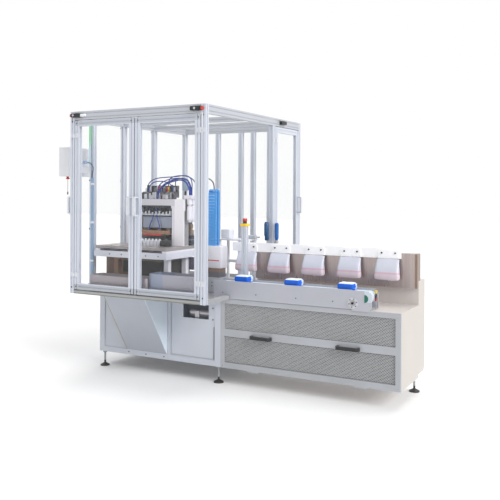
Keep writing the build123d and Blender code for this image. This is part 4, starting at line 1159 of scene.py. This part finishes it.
@dataclass
class GuardCell(SubAssembly):
    """Posts, rails, panes and floor of the guarded cell."""

    left: float = -1170.0
    front: float = -782.5
    side_posts: tuple[float, ...] = (-557.5, -162.5, 277.5)
    front_posts: tuple[float, ...] = (-1150.0, 60.0)
    second_post: tuple[float, float] = (-1150.0, -577.5)
    ends: tuple[float, float] = (690.0, 1985.0)
    between: tuple[float, float] = (1137.0, 1530.0)
    strip: Block = Block((-1157, -580.5, 1640.0), (-1143, -577.3, 1975.0), 1.0)
    button_profile: Profile = ((0, -6.6), (7, -6.6), (9, -5.2), (9.2, 0), (0, 0))
    buttons: tuple[Point, ...] = ((-1121.0, -808.0, 2031.0), (0.0, -808.0, 2031.0))
    keys_and_highlight_strip: tuple[Block, ...] = (
        Block((-1099.0, -803.0, 2019.0), (-1008.0, -782.0, 2041.0), 5.0),
        # A white strip beside the right post: partly a real reflective strip, partly a painted highlight
        Block((48.5, -785.5, 1849.0), (57.5, -782.0, 2000.0), 1.0),
    )

    def build(self) -> None:
        """Dresses the cell and adds its status light, screws, buttons, keys and a white strip that is partly a
        painted highlight.
        """
        self.dress("extruded_upright", "cell_posts")
        self.dress("rail_profile", "cell_top_rails", "cell_cross_beams")
        self.dress("sill_grey", "cell_sills")
        self.dress("clear_sheet", "cell_panes")
        self.dress("black_plastic", "safety_switches")
        self.dress("hinge_zinc", "hinge_leaves")
        self.piece("status_strip", "signal_green", "lens_colour", self.strip)
        self.corner_screws()
        buttons = (Turning(self.button_profile, place, Axis.Y, 20) for place in self.buttons)
        self.piece("switch_buttons", "light_screw", "hinge_zinc", *buttons)
        self.piece("switch_keys_and_highlight_strip", "box_white", "hinge_zinc", *self.keys_and_highlight_strip)

    def corner_screws(self) -> None:
        """Makes the button-head screws of the posts."""
        screws = Fasteners("post_screws", "dark_screw", radius=5.5, height=2.0)
        low, high = self.ends
        for y in self.side_posts:
            screws.row(Facing.LEFT, *((self.left, y, z) for z in (low, *self.between, high)))
        screws.row(Facing.FRONT, *((*self.second_post, z) for z in self.between))
        for x in self.front_posts:
            screws.row(Facing.FRONT, *((x, self.front, z) for z in self.ends))
        screws.build(self.palette, "hinge_zinc")


class Leaf(Enum):
    """A door of the machine."""

    LEFT = "left"
    RIGHT = "right"
    SIDE = "side"


@dataclass
class Doors(SubAssembly):
    """The two front doors and the side door."""

    screw_columns: tuple[tuple[Leaf, float, float], ...] = (
        (Leaf.LEFT, -577.0, -1108.0), (Leaf.RIGHT, -513.0, 18.0),
    )
    screw_heights: tuple[float, float] = (698.0, 1970.0)

    def build(self) -> None:
        """Dresses frames, panes and fittings and adds the frames' screws."""
        for leaf in Leaf:
            self.dress("extruded_upright", f"door_{leaf.value}_frame")
            self.dress("clear_sheet", f"door_{leaf.value}_pane")
            self.dress("hinge_zinc", f"door_{leaf.value}_fittings")
        self.dress("box_white", "grab_handle")
        for leaf, inner, outer in self.screw_columns:
            screws = Fasteners(f"door_{leaf.value}_screws", "dark_screw", radius=4.5, height=2.0)
            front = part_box(f"door_{leaf.value}_frame")[0].y * METRE
            for z in self.screw_heights:
                screws.row(Facing.FRONT, (inner, front, z), (outer, front, z))
            screws.build(self.palette, "hinge_zinc", f"door_{leaf.value}")


@dataclass
class Controls(SubAssembly):
    """The control box, its button, the signal lamp and the cable trunk."""

    button_place: Point = (-1325.0, -642.5, 1560.0)
    button_profile: Profile = ((0, 0), (12, 0), (12, -5), (8.5, -6.5), (8.5, -9), (15.5, -11), (17, -14.5),
                               (14, -20),
                               (6, -23), (0, -23.5))
    rod_profile: Profile = ((0, -146), (4, -146), (5, -142), (5, -126), (1.6, -122), (1.6, -22), (0, -22))
    clip_heights: tuple[float, ...] = (1190.0, 1500.0, 880.0)
    screw_x: tuple[float, float] = (-1372.0, -1278.0)
    screw_y: tuple[float, float] = (-676.0, -449.0)
    box_top: float = 1795.0

    def build(self) -> None:
        """Dresses the box and adds its button, clips and screws."""
        self.dress("box_white", "control_box")
        self.dress("lens_stack", "signal_lamp")
        self.dress("trunk_blue", "cable_trunk")
        self.piece("box_button", "stop_red", "stop_red", Turning(self.button_profile, self.button_place))
        self.piece("button_rod", "dark_screw", "black_plastic",
                   Turning(self.rod_profile, self.button_place, sides=12))
        clips = (Block((-1147.5, -572.5, z - 8), (-1121.0, -556.5, z + 8), 2.0) for z in self.clip_heights)
        self.piece("trunk_clips", "box_white", "box_white", *clips)
        screws = Fasteners("box_screws", "dark_screw", radius=4.0, height=1.5)
        for x in self.screw_x:
            screws.row(Facing.UP, *((x, y, self.box_top) for y in self.screw_y))
        screws.build(self.palette, "box_white")


@dataclass
class Table(SubAssembly):
    """The machine table with its drive, trays and sachet nests."""

    top: float = 1009.0
    nest_count: int = 6
    nest_start: float = -772.0
    nest_step: float = 34.0
    nest_profile: Profile = ((0, 0), (9, 0), (9, 10), (6.5, 13), (0, 13))
    clamps: tuple[Block | Turning, ...] = (
        Block((-560.0, -430.0, 1008.0), (-488.0, -372.0, 1055.0), 4.0),
        Block((-832.0, -415.0, 1008.0), (-790.0, -375.0, 1071.0), 4.0),
        Turning(((0, 0), (14, 0), (14, 8), (9, 12), (9, 22), (0, 22)), (-524.0, -401.0, 1054.0), sides=20),
    )
    guard_bar: Block = Block((-777.0, -366.0, 1088.0), (-600.0, -354.0, 1101.0), 3.0)
    rear_units: tuple[Block, ...] = (
        Block((-884.0, -236.0, 1008.0), (-560.0, -226.0, 1314.0), 2.0),
        Block((-560.0, -236.0, 1008.0), (-394.0, -186.0, 1092.0), 6.0),
        Block((-556.0, -232.0, 1090.0), (-396.0, -190.0, 1136.0), 3.0),
        Block((-552.0, -228.0, 1144.0), (-400.0, -192.0, 1182.0), 5.0),
        Block((-548.0, -222.0, 1134.0), (-404.0, -198.0, 1146.0), 1.0),
        Block((-536.0, -206.0, 645.0), (-440.0, -182.0, 914.0), 3.0),
        Block((-432.0, -204.0, 812.0), (-394.0, -182.0, 914.0), 3.0),
    )
    drive_skirt: Block = Block((-1090.0, -440.0, 645.0), (-1003.0, -404.0, 905.0), 4.0)
    rear_valves: tuple[Block, ...] = (
        Block((-500.0, -226.0, 1180.0), (-404.0, -198.0, 1312.0), 6.0),
        Block((-476.0, -234.0, 1224.0), (-436.0, -224.0, 1264.0), 4.0),
    )
    screw_x: tuple[float, ...] = (-938.3, -820.7, -703.0, -585.3, -467.7)
    screw_y: tuple[float, float] = (-560.0, -200.0)
    apron_screws: tuple[float, float] = (-582.5, 945.0)

    def build(self) -> None:
        """Dresses the table and adds nests, clamps, screws and what stands behind."""
        self.dress("machine_white", "machine_table")
        self.dress("dark_cover", "drive_housing")
        self.dress("tray_steel", "lower_trays")
        self.nests()
        self.piece("clamp_blocks", "black_plastic", "black_plastic", *self.clamps)
        self.piece("guard_bar", "stop_red", "stop_red", self.guard_bar)
        self.piece("rear_units", "rear_mix", "dark_cover", *self.rear_units)
        self.piece("drive_skirt", "brown_cover", "dark_cover", self.drive_skirt)
        self.piece("rear_valves", "valve_mix", "black_plastic", *self.rear_valves)
        screws = Fasteners("table_screws", "dark_screw", radius=5.0, height=2.0)
        for x in self.screw_x:
            screws.row(Facing.UP, *((x, y, self.top) for y in self.screw_y))
            screws.row(Facing.FRONT, (x, *self.apron_screws))
        screws.build(self.palette, "machine_white")

    def nests(self) -> None:
        """Makes the row of white nests, each with its knob."""
        form = Form()
        for index in range(self.nest_count):
            x = self.nest_start + self.nest_step * index
            form.add(Block((x, -418.0, self.top - 1), (x + 28, -372.0, self.top + 44), 3.0),
                     Turning(self.nest_profile, (x + 14, -395.0, self.top + 43), sides=16))
        self.keep(form.finish("sachet_nests", self.palette["nest_white"]), "machine_white")


@dataclass(frozen=True)
class ValveRow:
    """A row of valve slices: its front plane, its foot and its full height, in millimetres."""

    front: float
    foot: float
    top: float


@dataclass
class Portal(SubAssembly):
    """The gantry with its sealing head, valves, air units and energy chain."""

    chain_x: tuple[float, float] = (-248.0, -180.0)
    chain_y: float = -182.5
    chain_bend: float = 20.0
    chain_half: float = 12.0
    chain_top: float = 1462.0
    chain_foot: float = 1010.0
    link_pitch: float = 24.0
    link_wall: float = 8.0
    valve_rows: tuple[ValveRow, ...] = (ValveRow(-320.0, 1382.0, 1436.0), ValveRow(-272.0, 1438.0, 1500.0))
    valve_ends: tuple[float, float] = (-822.0, -526.0)
    valve_width: tuple[float, float] = (9.0, 21.0)
    valve_gap: tuple[float, float] = (1.0, 4.0)
    valve_share: tuple[float, float] = (0.55, 1.0)
    valve_depth: float = 12.0
    valve_finishes: tuple[str, ...] = (
        "black_plastic", "nest_white", "bearing_steel", "valve_mix", "tray_steel",
    )
    cap_profile: Profile = ((0, 0), (5, 0), (5, 28), (8, 28), (8, 42), (5, 45), (0, 45))
    cap_places: tuple[tuple[str, tuple[float, ...]], ...] = (
        ("stop_red", (-668.0, -592.0)), ("mark_yellow", (-578.0,)), ("black_plastic", (-640.0, -556.0)),
    )
    stem: Turning = Turning(((0, 0), (13, 0), (13, 14), (8, 18), (8, 70), (0, 70)), (-418.0, -286.0, 1380.0),
                            sides=16)
    bowl: Turning = Turning(((0, 0), (17, 0), (24, 12), (27, 84), (20, 100), (0, 104)),
                            (-418.0, -286.0, 1446.0))
    beam_strip: Block = Block((-842.0, -346.5, 1312.0), (-516.0, -342.0, 1330.0), 1.5)
    fitting_count: int = 9
    fitting_start: float = -822.0
    fitting_step: float = 34.0
    fitting_profile: Profile = ((0, 0), (9, 0), (9, 14), (6, 18), (6, 34), (10, 36), (10, 44), (0, 44))
    fitting_bar: Block = Block((-826.0, -333.0, 1250.0), (-526.0, -300.0, 1262.0), 2.0)

    def build(self) -> None:
        """Dresses the portal and adds the chain, the valves, the collector and the fittings."""
        self.dress("machine_white", "gantry", "air_units")
        self.dress("head_steel", "sealing_head")
        self.dress("valve_mix", "valve_row")
        self.energy_chain()
        self.valve_slices()
        self.valve_caps()
        self.piece("collector_stem", "black_plastic", "black_plastic", self.stem)
        self.piece("collector_bowl", "bowl_grey", "machine_white", self.bowl)
        self.piece("beam_strip", "black_plastic", "black_plastic", self.beam_strip)
        self.ram_fittings()

    def chain_path(self) -> tuple[list[tuple[float, float, float]], float]:
        """Follows the chain up one side, round the bend and down the other.

        Returns:
            For each link its offset along Y, its height and its angle, and the pitch of the links.
        """
        top = self.chain_top - self.chain_bend - self.chain_half
        straight = top - self.chain_foot
        total = 2 * straight + math.pi * self.chain_bend
        count = round(total / self.link_pitch)
        path = []
        for k in range(count):
            s = (k + 0.5) * total / count
            if s < straight:
                path.append((-self.chain_bend, self.chain_foot + s, math.pi / 2))
            elif s > total - straight:
                path.append((self.chain_bend, self.chain_foot + total - s, -math.pi / 2))
            else:
                a = math.pi - (s - straight) / self.chain_bend
                y, rise = self.chain_bend * math.cos(a), self.chain_bend * math.sin(a)
                path.append((y, top + rise, a - math.pi / 2))
        return path, total / count

    def energy_chain(self) -> None:
        """Makes the links along a narrow arch."""
        path, pitch = self.chain_path()
        left, right = self.chain_x
        sizes = {"Width": (right - left) / METRE, "Pitch": pitch / METRE, "Height": 2 * self.chain_half / METRE,
                 "Wall": self.link_wall / METRE}
        maker = Grower("chain_links", sizes, self.palette["link_blue"])
        w, given = maker.wiring, maker.given
        half, half_wall = w.maths("MULTIPLY", given["Width"], 0.5), w.maths("MULTIPLY", given["Wall"], 0.5)
        side = w.maths("SUBTRACT", half, half_wall)
        other = w.maths("MULTIPLY", side, -1.0)
        long = w.maths("MULTIPLY", given["Pitch"], 1.12)
        shorter = w.maths("MULTIPLY", long, 0.86)
        front = w.maths("MULTIPLY", given["Height"], 0.42)
        back = w.maths("MULTIPLY", front, -1.0)
        bar = w.maths("MULTIPLY", given["Pitch"], 0.9)
        thick = w.maths("MULTIPLY", given["Wall"], 0.45)
        wide = w.maths("SUBTRACT", given["Width"], given["Wall"])
        link = maker.join(
            self.link_part(w, (side, 0.0, 0.0), (given["Wall"], given["Height"], long)),
            self.link_part(w, (other, 0.0, 0.0), (given["Wall"], given["Height"], shorter)),
            self.link_part(w, (0.0, front, 0.0), (wide, thick, bar)),
            self.link_part(w, (0.0, back, 0.0), (wide, thick, bar)),
        )
        maker.stand(link, across=Axis.X.value)
        places = [((left + right) / 2, self.chain_y + y, z) for y, z, _ in path]
        ways = [(0.0, math.cos(a), math.sin(a)) for _, _, a in path]
        self.keep(maker.grow(places, ways), "blue_plastic", ("energy_chain",))

    @staticmethod
    def link_part(w: Wiring, place: tuple[object, ...], size: tuple[object, ...]) -> Output:
        """Makes one block of a link.

        Args:
            w: the tree's wiring.
            place: its middle, as values or outputs.
            size: its size, as values or outputs.

        Returns:
            The block.
        """
        room = w.node("ShaderNodeCombineXYZ", dict(enumerate(size))).outputs[0]
        made = w.node("GeometryNodeMeshCube", {"Size": room}).outputs[0]
        move = w.node("ShaderNodeCombineXYZ", dict(enumerate(place))).outputs[0]
        return w.node("GeometryNodeTransform", {"Geometry": made, "Translation": move}).outputs[0]

    def valve_slices(self) -> None:
        """Makes slices of mixed width, height and colour before the two valve rows."""
        chance = random.Random(23)
        slices = {name: Form() for name in self.valve_finishes}
        start, end = self.valve_ends
        for row in self.valve_rows:
            x = start
            while x < end:
                wide = chance.uniform(*self.valve_width)
                tall = row.foot + (row.top - row.foot) * chance.uniform(*self.valve_share)
                form = slices[chance.choice(self.valve_finishes)]
                form.add(Block((x, row.front, row.foot), (x + wide, row.front + self.valve_depth, tall), 2.0))
                x += wide + chance.uniform(*self.valve_gap)
        for name, form in slices.items():
            self.keep(form.finish(f"valve_slices_{name}", self.palette[name]), "black_plastic")

    def valve_caps(self) -> None:
        """Makes the small coloured caps over the valves."""
        for name, places in self.cap_places:
            caps = (Turning(self.cap_profile, (x, -286.0, 1436.0), sides=16) for x in places)
            self.piece(f"valve_caps_{name}", name, "black_plastic", *caps)

    def ram_fittings(self) -> None:
        """Makes the small fittings and connectors between the beam and the heater."""
        dark, light = Form(), Form()
        for index in range(self.fitting_count):
            x = self.fitting_start + self.fitting_step * index
            dark.add(Turning(self.fitting_profile, (x, -330.0, 1266.0 + 3.0 * (index % 2)), sides=12))
            light.add(Block((x + 10, -338.0, 1258.0), (x + 26, -318.0, 1276.0 + 5.0 * (index % 3)), 2.0))
        light.add(self.fitting_bar)
        self.keep(dark.finish("ram_fittings", self.palette["black_plastic"]), "black_plastic")
        self.keep(light.finish("ram_blocks", self.palette["bearing_steel"]), "dark_cover")


@dataclass
class TransferStation(SubAssembly):
    """The covered drive under the chain and the small frame that hands packs to the conveyor."""

    floor: float = 645.0
    cover: Block = Block((-262.0, -236.0, 838.0), (-116.0, -124.0, 1016.0), 14.0)
    foot: Block = Block((-250.0, -228.0, 645.0), (-132.0, -130.0, 842.0), 4.0)
    stripe: Block = Block((-246.0, -238.0, 898.0), (-132.0, -234.0, 906.0), 1.0)
    leg_x: tuple[float, float] = (-330.0, -70.0)
    leg_y: tuple[float, float] = (80.0, 220.0)
    leg_width: float = 20.0
    leg_top: float = 1045.0
    shelves: tuple[Block, ...] = (
        Block((-340.0, 70.0, 1040.0), (-40.0, 250.0, 1052.0), 2.0),
        Block((-330.0, 84.0, 860.0), (-50.0, 96.0, 884.0), 2.0),
    )
    ram: Turning = Turning(((0, 0), (17, 0), (19, 4), (19, 26), (16, 30), (16, 120), (19, 124), (19, 140),
                            (7, 143), (7, 176), (0, 176)), (-150.0, 150.0, 1071.0), Axis.X, 20)
    filter_parts: tuple[Block | Turning, ...] = (
        Turning(((0, 0), (14, 0), (20, 10), (20, 104), (16, 112), (16, 120), (0, 122)), (40.0, 240.0, 1074.0),
                sides=20),
        Block((26.0, 234.0, 1040.0), (54.0, 262.0, 1080.0), 3.0),
    )
    hopper: Block = Block((-330.0, 120.0, 1052.0), (-245.0, 205.0, 1128.0), 8.0)

    def build(self) -> None:
        """Makes the station's pieces inside the cell."""
        self.piece("station_cover", "machine_white", "machine_white", self.cover)
        self.piece("station_foot", "brown_cover", "dark_cover", self.foot)
        self.piece("station_stripe", "stop_red", "stop_red", self.stripe)
        wide = self.leg_width
        legs = (Block((x, y, self.floor), (x + wide, y + wide, self.leg_top), 2.0)
                for x in self.leg_x for y in self.leg_y)
        self.piece("station_frame", "box_white", "profile", *legs, *self.shelves)
        self.piece("station_ram", "bearing_steel", "dark_cover", self.ram)
        self.piece("station_filter", "bowl_dark", "machine_white", *self.filter_parts)
        self.piece("station_hopper", "nest_white", "machine_white", self.hopper)


@dataclass
class Cover(SubAssembly):
    """The outfeed's cabinet and its front cover with perforated sheets."""

    left: float = 30.0
    right: float = 1343.0
    windows: tuple[tuple[float, float], ...] = ((166.0, 362.0), (416.0, 606.0))
    sheet_y: float = -418.5
    overlap: float = 4.0
    pitch: float = 10.5
    hole: float = 0.66
    thick: float = 1.6
    # Where the near-black sheets of painted shade stand behind the holes, and how far past the windows they
    # reach
    shade_sheet_y: tuple[float, float] = (-408.0, -405.0)
    shade_sheet_rim: float = 8.0
    catches: tuple[Block, ...] = (
        Block((234.0, -426.5, 114.0), (318.0, -410.0, 128.0), 3.0),
        Block((1050.0, -426.5, 114.0), (1148.0, -410.0, 128.0), 3.0),
    )
    screw_x: tuple[float, ...] = (14.0, 470.0, 915.0, 1362.0)
    screw_z: tuple[float, float] = (622.0, 142.0)
    front: float = -427.5

    def build(self) -> None:
        """Dresses the cabinet and makes the perforated sheets, the dark sheets of painted shade behind them,
        catches and screws.
        """
        self.dress("cover_grey", "cover_frame")
        self.dress("cabinet_white", "outfeed_shell", "rear_duct")
        self.dress("black_plastic", "cover_handles")
        for index, (low, high) in enumerate(self.windows):
            self.keep(self.perforated(f"perforated_sheet_{index}", low, high), "mesh_grey", ("cover_mesh",))
        # Near-black sheets behind the holes: painted shade for the cabinet's inside
        rim = self.shade_sheet_rim
        near, far = self.shade_sheet_y
        shade_blocks = (Block((self.left - rim, near, low - rim), (self.right + rim, far, high + rim), 1.0)
                   for low, high in self.windows)
        self.piece("shade_sheets", "painted_shade_inside", "mesh_grey", *shade_blocks)
        self.piece("cover_catches", "cover_grey", "paint_grey", *self.catches)
        screws = Fasteners("cover_screws", "light_screw", radius=4.5, height=1.6)
        for x in self.screw_x:
            screws.row(Facing.FRONT, *((x, self.front, z) for z in self.screw_z))
        screws.build(self.palette, "paint_grey")

    def perforated(self, name: str, low: float, high: float) -> bpy.types.Object:
        """Makes one sheet with holes in staggered rows, of six-sided cells that meet.

        Args:
            name: the sheet's name.
            low, high: its lower and upper edge in millimetres.

        Returns:
            The finished sheet.
        """
        step = self.pitch
        rise = step * math.sqrt(3) / 2
        rows = int((high - low + self.overlap) / rise)
        across = int((self.right - self.left + self.overlap) / step)
        start = (self.left + self.right - (across - 1) * step) / 2
        foot = (low + high - (rows - 1) * rise) / 2
        places = [(start + step * (k + 0.5 * (row % 2)) - step / 4, self.sheet_y, foot + rise * row)
                  for row in range(rows) for k in range(across)]
        sizes = {"Cell": step / math.sqrt(3) / METRE, "Hole": self.hole, "Thick": self.thick / METRE}
        maker = Grower(name, sizes, self.palette["mesh_grey"])
        w, given = maker.wiring, maker.given
        cell = w.node("GeometryNodeMeshCircle", {"Vertices": 6, "Radius": given["Cell"]},
                      fill_type="NGON").outputs[0]
        inset, middle = maker.inset(cell, given["Hole"])
        wall, bottom = maker.raise_faces(inset, w.maths("MULTIPLY", given["Thick"], -1.0), middle)
        wider, outer = maker.inset(wall, w.maths("DIVIDE", 1.0, given["Hole"]), bottom)
        opened = w.node("GeometryNodeDeleteGeometry", {"Geometry": wider, "Selection": outer}, domain="FACE",
                        mode="ONLY_FACE").outputs[0]
        maker.stand(opened, across=Axis.Z.value)
        return maker.grow(places, [Facing.FRONT.value] * len(places))


@dataclass
class Pouch(SubAssembly):
    """The standing pouches that hang by their mouths."""

    top: float = 969.7
    low: float = 814.7
    back: float = -48.5
    depth: float = 76.0
    top_half: float = 85.0
    foot_half: float = 98.0
    hem: float = 0.86
    hem_draw: float = 7.0
    rows: int = 16
    across: int = 22
    fill: float = 0.45

    def build(self) -> None:
        """Makes every pouch a little different."""
        for index, x in enumerate(POUCH_PLACES):
            piece = self.pouch(f"hanging_pouch_{index}", x, random.Random(40 + index))
            self.keep(piece, "bag_film", ("hanging_bags",))

    def pouch(self, name: str, x: float, chance: random.Random) -> bpy.types.Object:
        """Lofts one pouch from its mouth to its foot.

        Args:
            name: the piece's name.
            x: its middle.
            chance: the numbers that vary it.

        Returns:
            The finished pouch.
        """
        phase = chance.uniform(0, 6.28)
        rings = [self.ring(x, row / self.rows, phase) for row in range(self.rows + 1)]
        return self.filled_film(name, "bag_film", rings)

    def ring(self, x: float, t: float, phase: float) -> list[Point]:
        """Works out one level of a pouch.

        Args:
            x: the pouch's middle.
            t: how far down the level is, from 0 to 1.
            phase: where the film's folds start.

        Returns:
            The ring's points, along the front and back again.
        """
        z = self.top - t * (self.top - self.low)
        swell = math.sin(math.pi * min(1.0, t * 0.62)) ** 0.9
        half = self.top_half + (self.foot_half - self.top_half) * min(1.0, t / 0.85) ** 1.2
        if t > self.hem:
            half -= (t - self.hem) / (1 - self.hem) * self.hem_draw
        thick = 3.0 + (self.depth - 14.0) * swell * (0.92 if t < 0.93 else 0.92 - 1.2 * (t - 0.93))
        middle = self.back - 4 - (self.depth - 6) / 2 * (0.12 + 0.88 * swell)
        near, far = self.back - self.depth + 0.8, self.back - 0.8
        forth = [(1, 2 * k / self.across - 1) for k in range(self.across + 1)]
        home = [(-1, 1 - 2 * (k + 1) / self.across) for k in range(self.across - 1)]
        ring = []
        for side, u in forth + home:
            crown = (1 - abs(u) ** 12.0) ** 0.5
            fold = math.sin(u * 9.0 + phase + 2.0 * t) * 1.2 * t * crown
            fold += math.sin(u * 3.1 - phase + 5.0 * t) * 1.6 * crown
            y = middle - side * max(0.6, thick / 2 * crown) - side * fold * 0.5
            slant = 5.0 * (1 - u) * max(0.0, t - 0.6)
            ring.append((x + u * half, min(far, max(near, y)), z + slant))
        return ring


@dataclass
class Outfeed(SubAssembly):
    """The conveyor, its packs, the wall behind it and the carrier rail."""

    pack_half: float = 61.0
    pack_shift: float = 8.0
    pack_y: float = -358.5
    pack_flat: tuple[float, float] = (40.0, 1.6)
    pack_swell: tuple[float, float] = (8.0, 24.9)
    pack_middle: float = 26.7
    pack_square: float = 0.3
    pack_fill: float = 0.8
    rows: int = 16
    around: int = 20
    belt: float = 765.3
    bearing: tuple[float, float] = (1049.0, 690.0)
    bearing_radius: float = 29.0
    bearing_y: float = -440.5
    plate_x: tuple[float, ...] = (20.0, 300.0, 620.0, 900.0)
    plate_y: float = -433.5
    pulley: tuple[float, float] = (1129.0, 723.0)
    pulley_radius: float = 27.0
    pulley_y: tuple[float, float] = (-436.0, -433.4)
    sensor_body: Block = Block((1169.0, -331.0, 700.0), (1179.0, -319.0, 778.0), 2.0)
    sensor_stem: Block = Block((1171.0, -327.0, 642.0), (1177.0, -323.0, 701.0), 1.0)
    sensor_band: Block = Block((1168.0, -332.5, 750.0), (1179.5, -318.0, 776.0), 2.0)
    sensor_cap: Block = Block((1168.0, -332.5, 700.0), (1179.5, -318.0, 716.0), 2.0)

    def build(self) -> None:
        """Dresses the conveyor and makes its packs, screws, pulley and sensor."""
        self.dress("conveyor_grey", "conveyor_plates")
        self.dress("belt_blue", "conveyor_belt")
        self.dress("bearing_steel", "conveyor_rollers")
        self.dress("brushed_wall", "back_wall")
        self.dress("rail_white", "carrier_rail")
        for index, x in enumerate(PACK_PLACES):
            piece = self.pack(f"conveyed_pack_{index}", x, random.Random(7 + index))
            self.keep(piece, "pack_blue", ("packs",))
        self.bearing_screws()
        self.pulley_face()
        self.piece("sensor_body", "black_plastic", "black_plastic", self.sensor_body)
        self.piece("sensor_stem", "bearing_steel", "conveyor_grey", self.sensor_stem)
        self.piece("sensor_band", "mark_yellow", "stop_red", self.sensor_band)
        self.piece("sensor_cap", "stop_red", "stop_red", self.sensor_cap)

    def pack(self, name: str, x: float, chance: random.Random) -> bpy.types.Object:
        """Makes a pillow pack with crimped ends.

        Args:
            name: the piece's name.
            x: its middle.
            chance: the numbers that vary it.

        Returns:
            The finished pack.
        """
        phase = chance.uniform(0, 6.28)
        rings = [self.ring(x, 2 * row / self.rows - 1, phase) for row in range(self.rows + 1)]
        return self.filled_film(name, "pack_film", rings)

    def ring(self, x: float, u: float, phase: float) -> list[Point]:
        """Works out one slice of a pack.

        Args:
            x: the pack's middle.
            u: how far along the slice is, from -1 to 1.
            phase: where the film's puckers start.

        Returns:
            The slice's points.
        """
        swell = (1 - abs(u) ** 9.0) ** 0.5 if abs(u) < 0.999 else 0.0
        half_y = self.pack_flat[0] + self.pack_swell[0] * swell
        half_z = self.pack_flat[1] + self.pack_swell[1] * swell
        ring = []
        for k in range(self.around):
            a = 2 * math.pi * k / self.around
            c, s = math.cos(a), math.sin(a)
            y = math.copysign(abs(c) ** self.pack_square, c) * half_y
            z = math.copysign(abs(s) ** self.pack_square, s) * half_z
            pucker = 0.9 * math.sin(3 * a + phase + 7 * u) * swell
            height = max(self.belt + 0.2, self.belt + self.pack_middle + z + pucker)
            ring.append((x + self.pack_shift + u * self.pack_half, self.pack_y + y + 0.4 * pucker, height))
        return ring

    def bearing_screws(self) -> None:
        """Makes the screws round the bearing and along the side plate."""
        screws = Fasteners("bearing_screws", "dark_screw", radius=4.0, height=2.0)
        x, z = self.bearing
        for degrees in range(15, 375, 60):
            a = math.radians(degrees)
            right, up = self.bearing_radius * math.cos(a), self.bearing_radius * math.sin(a)
            screws.row(Facing.FRONT, (x + right, self.bearing_y, z + up))
        screws.row(Facing.FRONT, *((x, self.plate_y, z) for x in self.plate_x))
        screws.build(self.palette, "conveyor_grey")

    def pulley_face(self) -> None:
        """Makes the half of the belt's pulley that shows at the plate's end."""
        x, z = self.pulley
        turns = [math.pi * k / 12 for k in range(13)]
        arc = [(x + self.pulley_radius * math.sin(a), z - self.pulley_radius * math.cos(a)) for a in turns]
        form = Form().skin([[(px, y, pz) for px, pz in arc] for y in self.pulley_y])
        self.keep(form.finish("pulley_face", self.palette["pulley_green"]), "belt_blue")


@dataclass
class StopPost(SubAssembly):
    """The post with the emergency stop, and the clear guard beside it."""

    def build(self) -> None:
        """Dresses the post, its button and the guard."""
        self.dress("extruded_upright", "stop_column")
        self.dress("stop_red", "stop_button")
        self.dress("clear_sheet", "belt_guard")


@dataclass(frozen=True)
class Lamp:
    """A soft distant lamp: where it stands from the object, its strength and its width in degrees."""

    name: str
    towards: Point
    strength: float
    spread: float

    def build(self) -> None:
        """Makes the lamp."""
        data = bpy.data.lights.new(self.name, "SUN")
        data.energy = self.strength
        data.angle = math.radians(self.spread)
        made = bpy.data.objects.new(self.name, data)
        made.rotation_euler = Vector(self.towards).to_track_quat("Z", "Y").to_euler()
        bpy.context.collection.objects.link(made)


@dataclass
class Studio:
    """Floor, world and lamps."""

    world_light: float = 0.52
    floor_light: float = 0.10
    floor_half: float = 30.0
    floor_greys: tuple[float, float] = (0.86, 0.90)
    lamps: tuple[Lamp, ...] = (
        Lamp("lamp_right", (0.80, -0.28, 0.52), strength=1.9, spread=28.0),
        Lamp("lamp_top", (0.02, 0.30, 0.95), strength=1.25, spread=45.0),
    )

    def build(self) -> None:
        """Makes the floor, the world and the lamps."""
        self.floor()
        self.world()
        for lamp in self.lamps:
            lamp.build()

    def floor(self) -> None:
        """Makes a plain floor that is white to the camera and keeps the shadow."""
        data = bpy.data.meshes.new("studio_floor")
        half = self.floor_half
        corners = [(-half, -half, 0), (half, -half, 0), (half, half, 0), (-half, half, 0)]
        data.from_pydata(corners, [], [(0, 1, 2, 3)])
        made = bpy.data.objects.new("studio_floor", data)
        bpy.context.collection.objects.link(made)
        material = bpy.data.materials.new("studio_floor")
        material.use_nodes = True
        w = Wiring(material.node_tree)
        dark, pale = ((grey,) * 3 for grey in self.floor_greys)
        speck = w.noise(w.node("ShaderNodeTexCoord").outputs["Object"], 40.0)
        w.fill(material.node_tree.nodes["Principled BSDF"], {
            "Base Color": w.mix(speck, dark, pale),
            "Roughness": 0.9,
            "Specular IOR Level": 0.1,
            "Emission Color": (1.0, 1.0, 1.0),
            "Emission Strength": w.maths("MULTIPLY", self.seen(w), self.floor_light),
        })
        data.materials.append(material)

    @staticmethod
    def seen(w: Wiring) -> Output:
        """Is 1 for what the camera sees straight, in gloss or through glass.

        Args:
            w: the tree's wiring.

        Returns:
            The mask.
        """
        path = w.node("ShaderNodeLightPath").outputs
        some = w.maths("ADD", path["Is Camera Ray"], path["Is Glossy Ray"])
        return w.maths("ADD", some, path["Is Transmission Ray"], clamp=True)

    def world(self) -> None:
        """Makes the white behind the object, and a lower even light on it."""
        world = bpy.data.worlds.new("studio")
        world.use_nodes = True
        bpy.context.scene.world = world
        w = Wiring(world.node_tree)
        level = w.node("ShaderNodeMapRange", {"Value": self.seen(w), "To Min": self.world_light, "To Max": 1.0})
        back = world.node_tree.nodes["Background"]
        w.fill(back, {"Color": (1.0, 1.0, 1.0), "Strength": level.outputs[0]})


def main() -> None:
    """Builds the sub-assemblies in order and reports them."""
    logging.basicConfig(level=logging.INFO, format="%(name)s: %(message)s")
    bpy.context.scene.view_settings.view_transform = "Standard"
    palette = Palette()
    Viewpoint().build()
    makers: tuple[Callable[[Palette], object], ...] = (
        Hoses, Base, GuardCell, Doors, Controls, Table, Portal, TransferStation, Cover, Pouch, Outfeed,
        StopPost,
    )
    for maker in makers:
        maker(palette).build()
        LOG.info("built %s", maker.__name__)
    Studio().build()


if __name__ == "__main__":
    main()
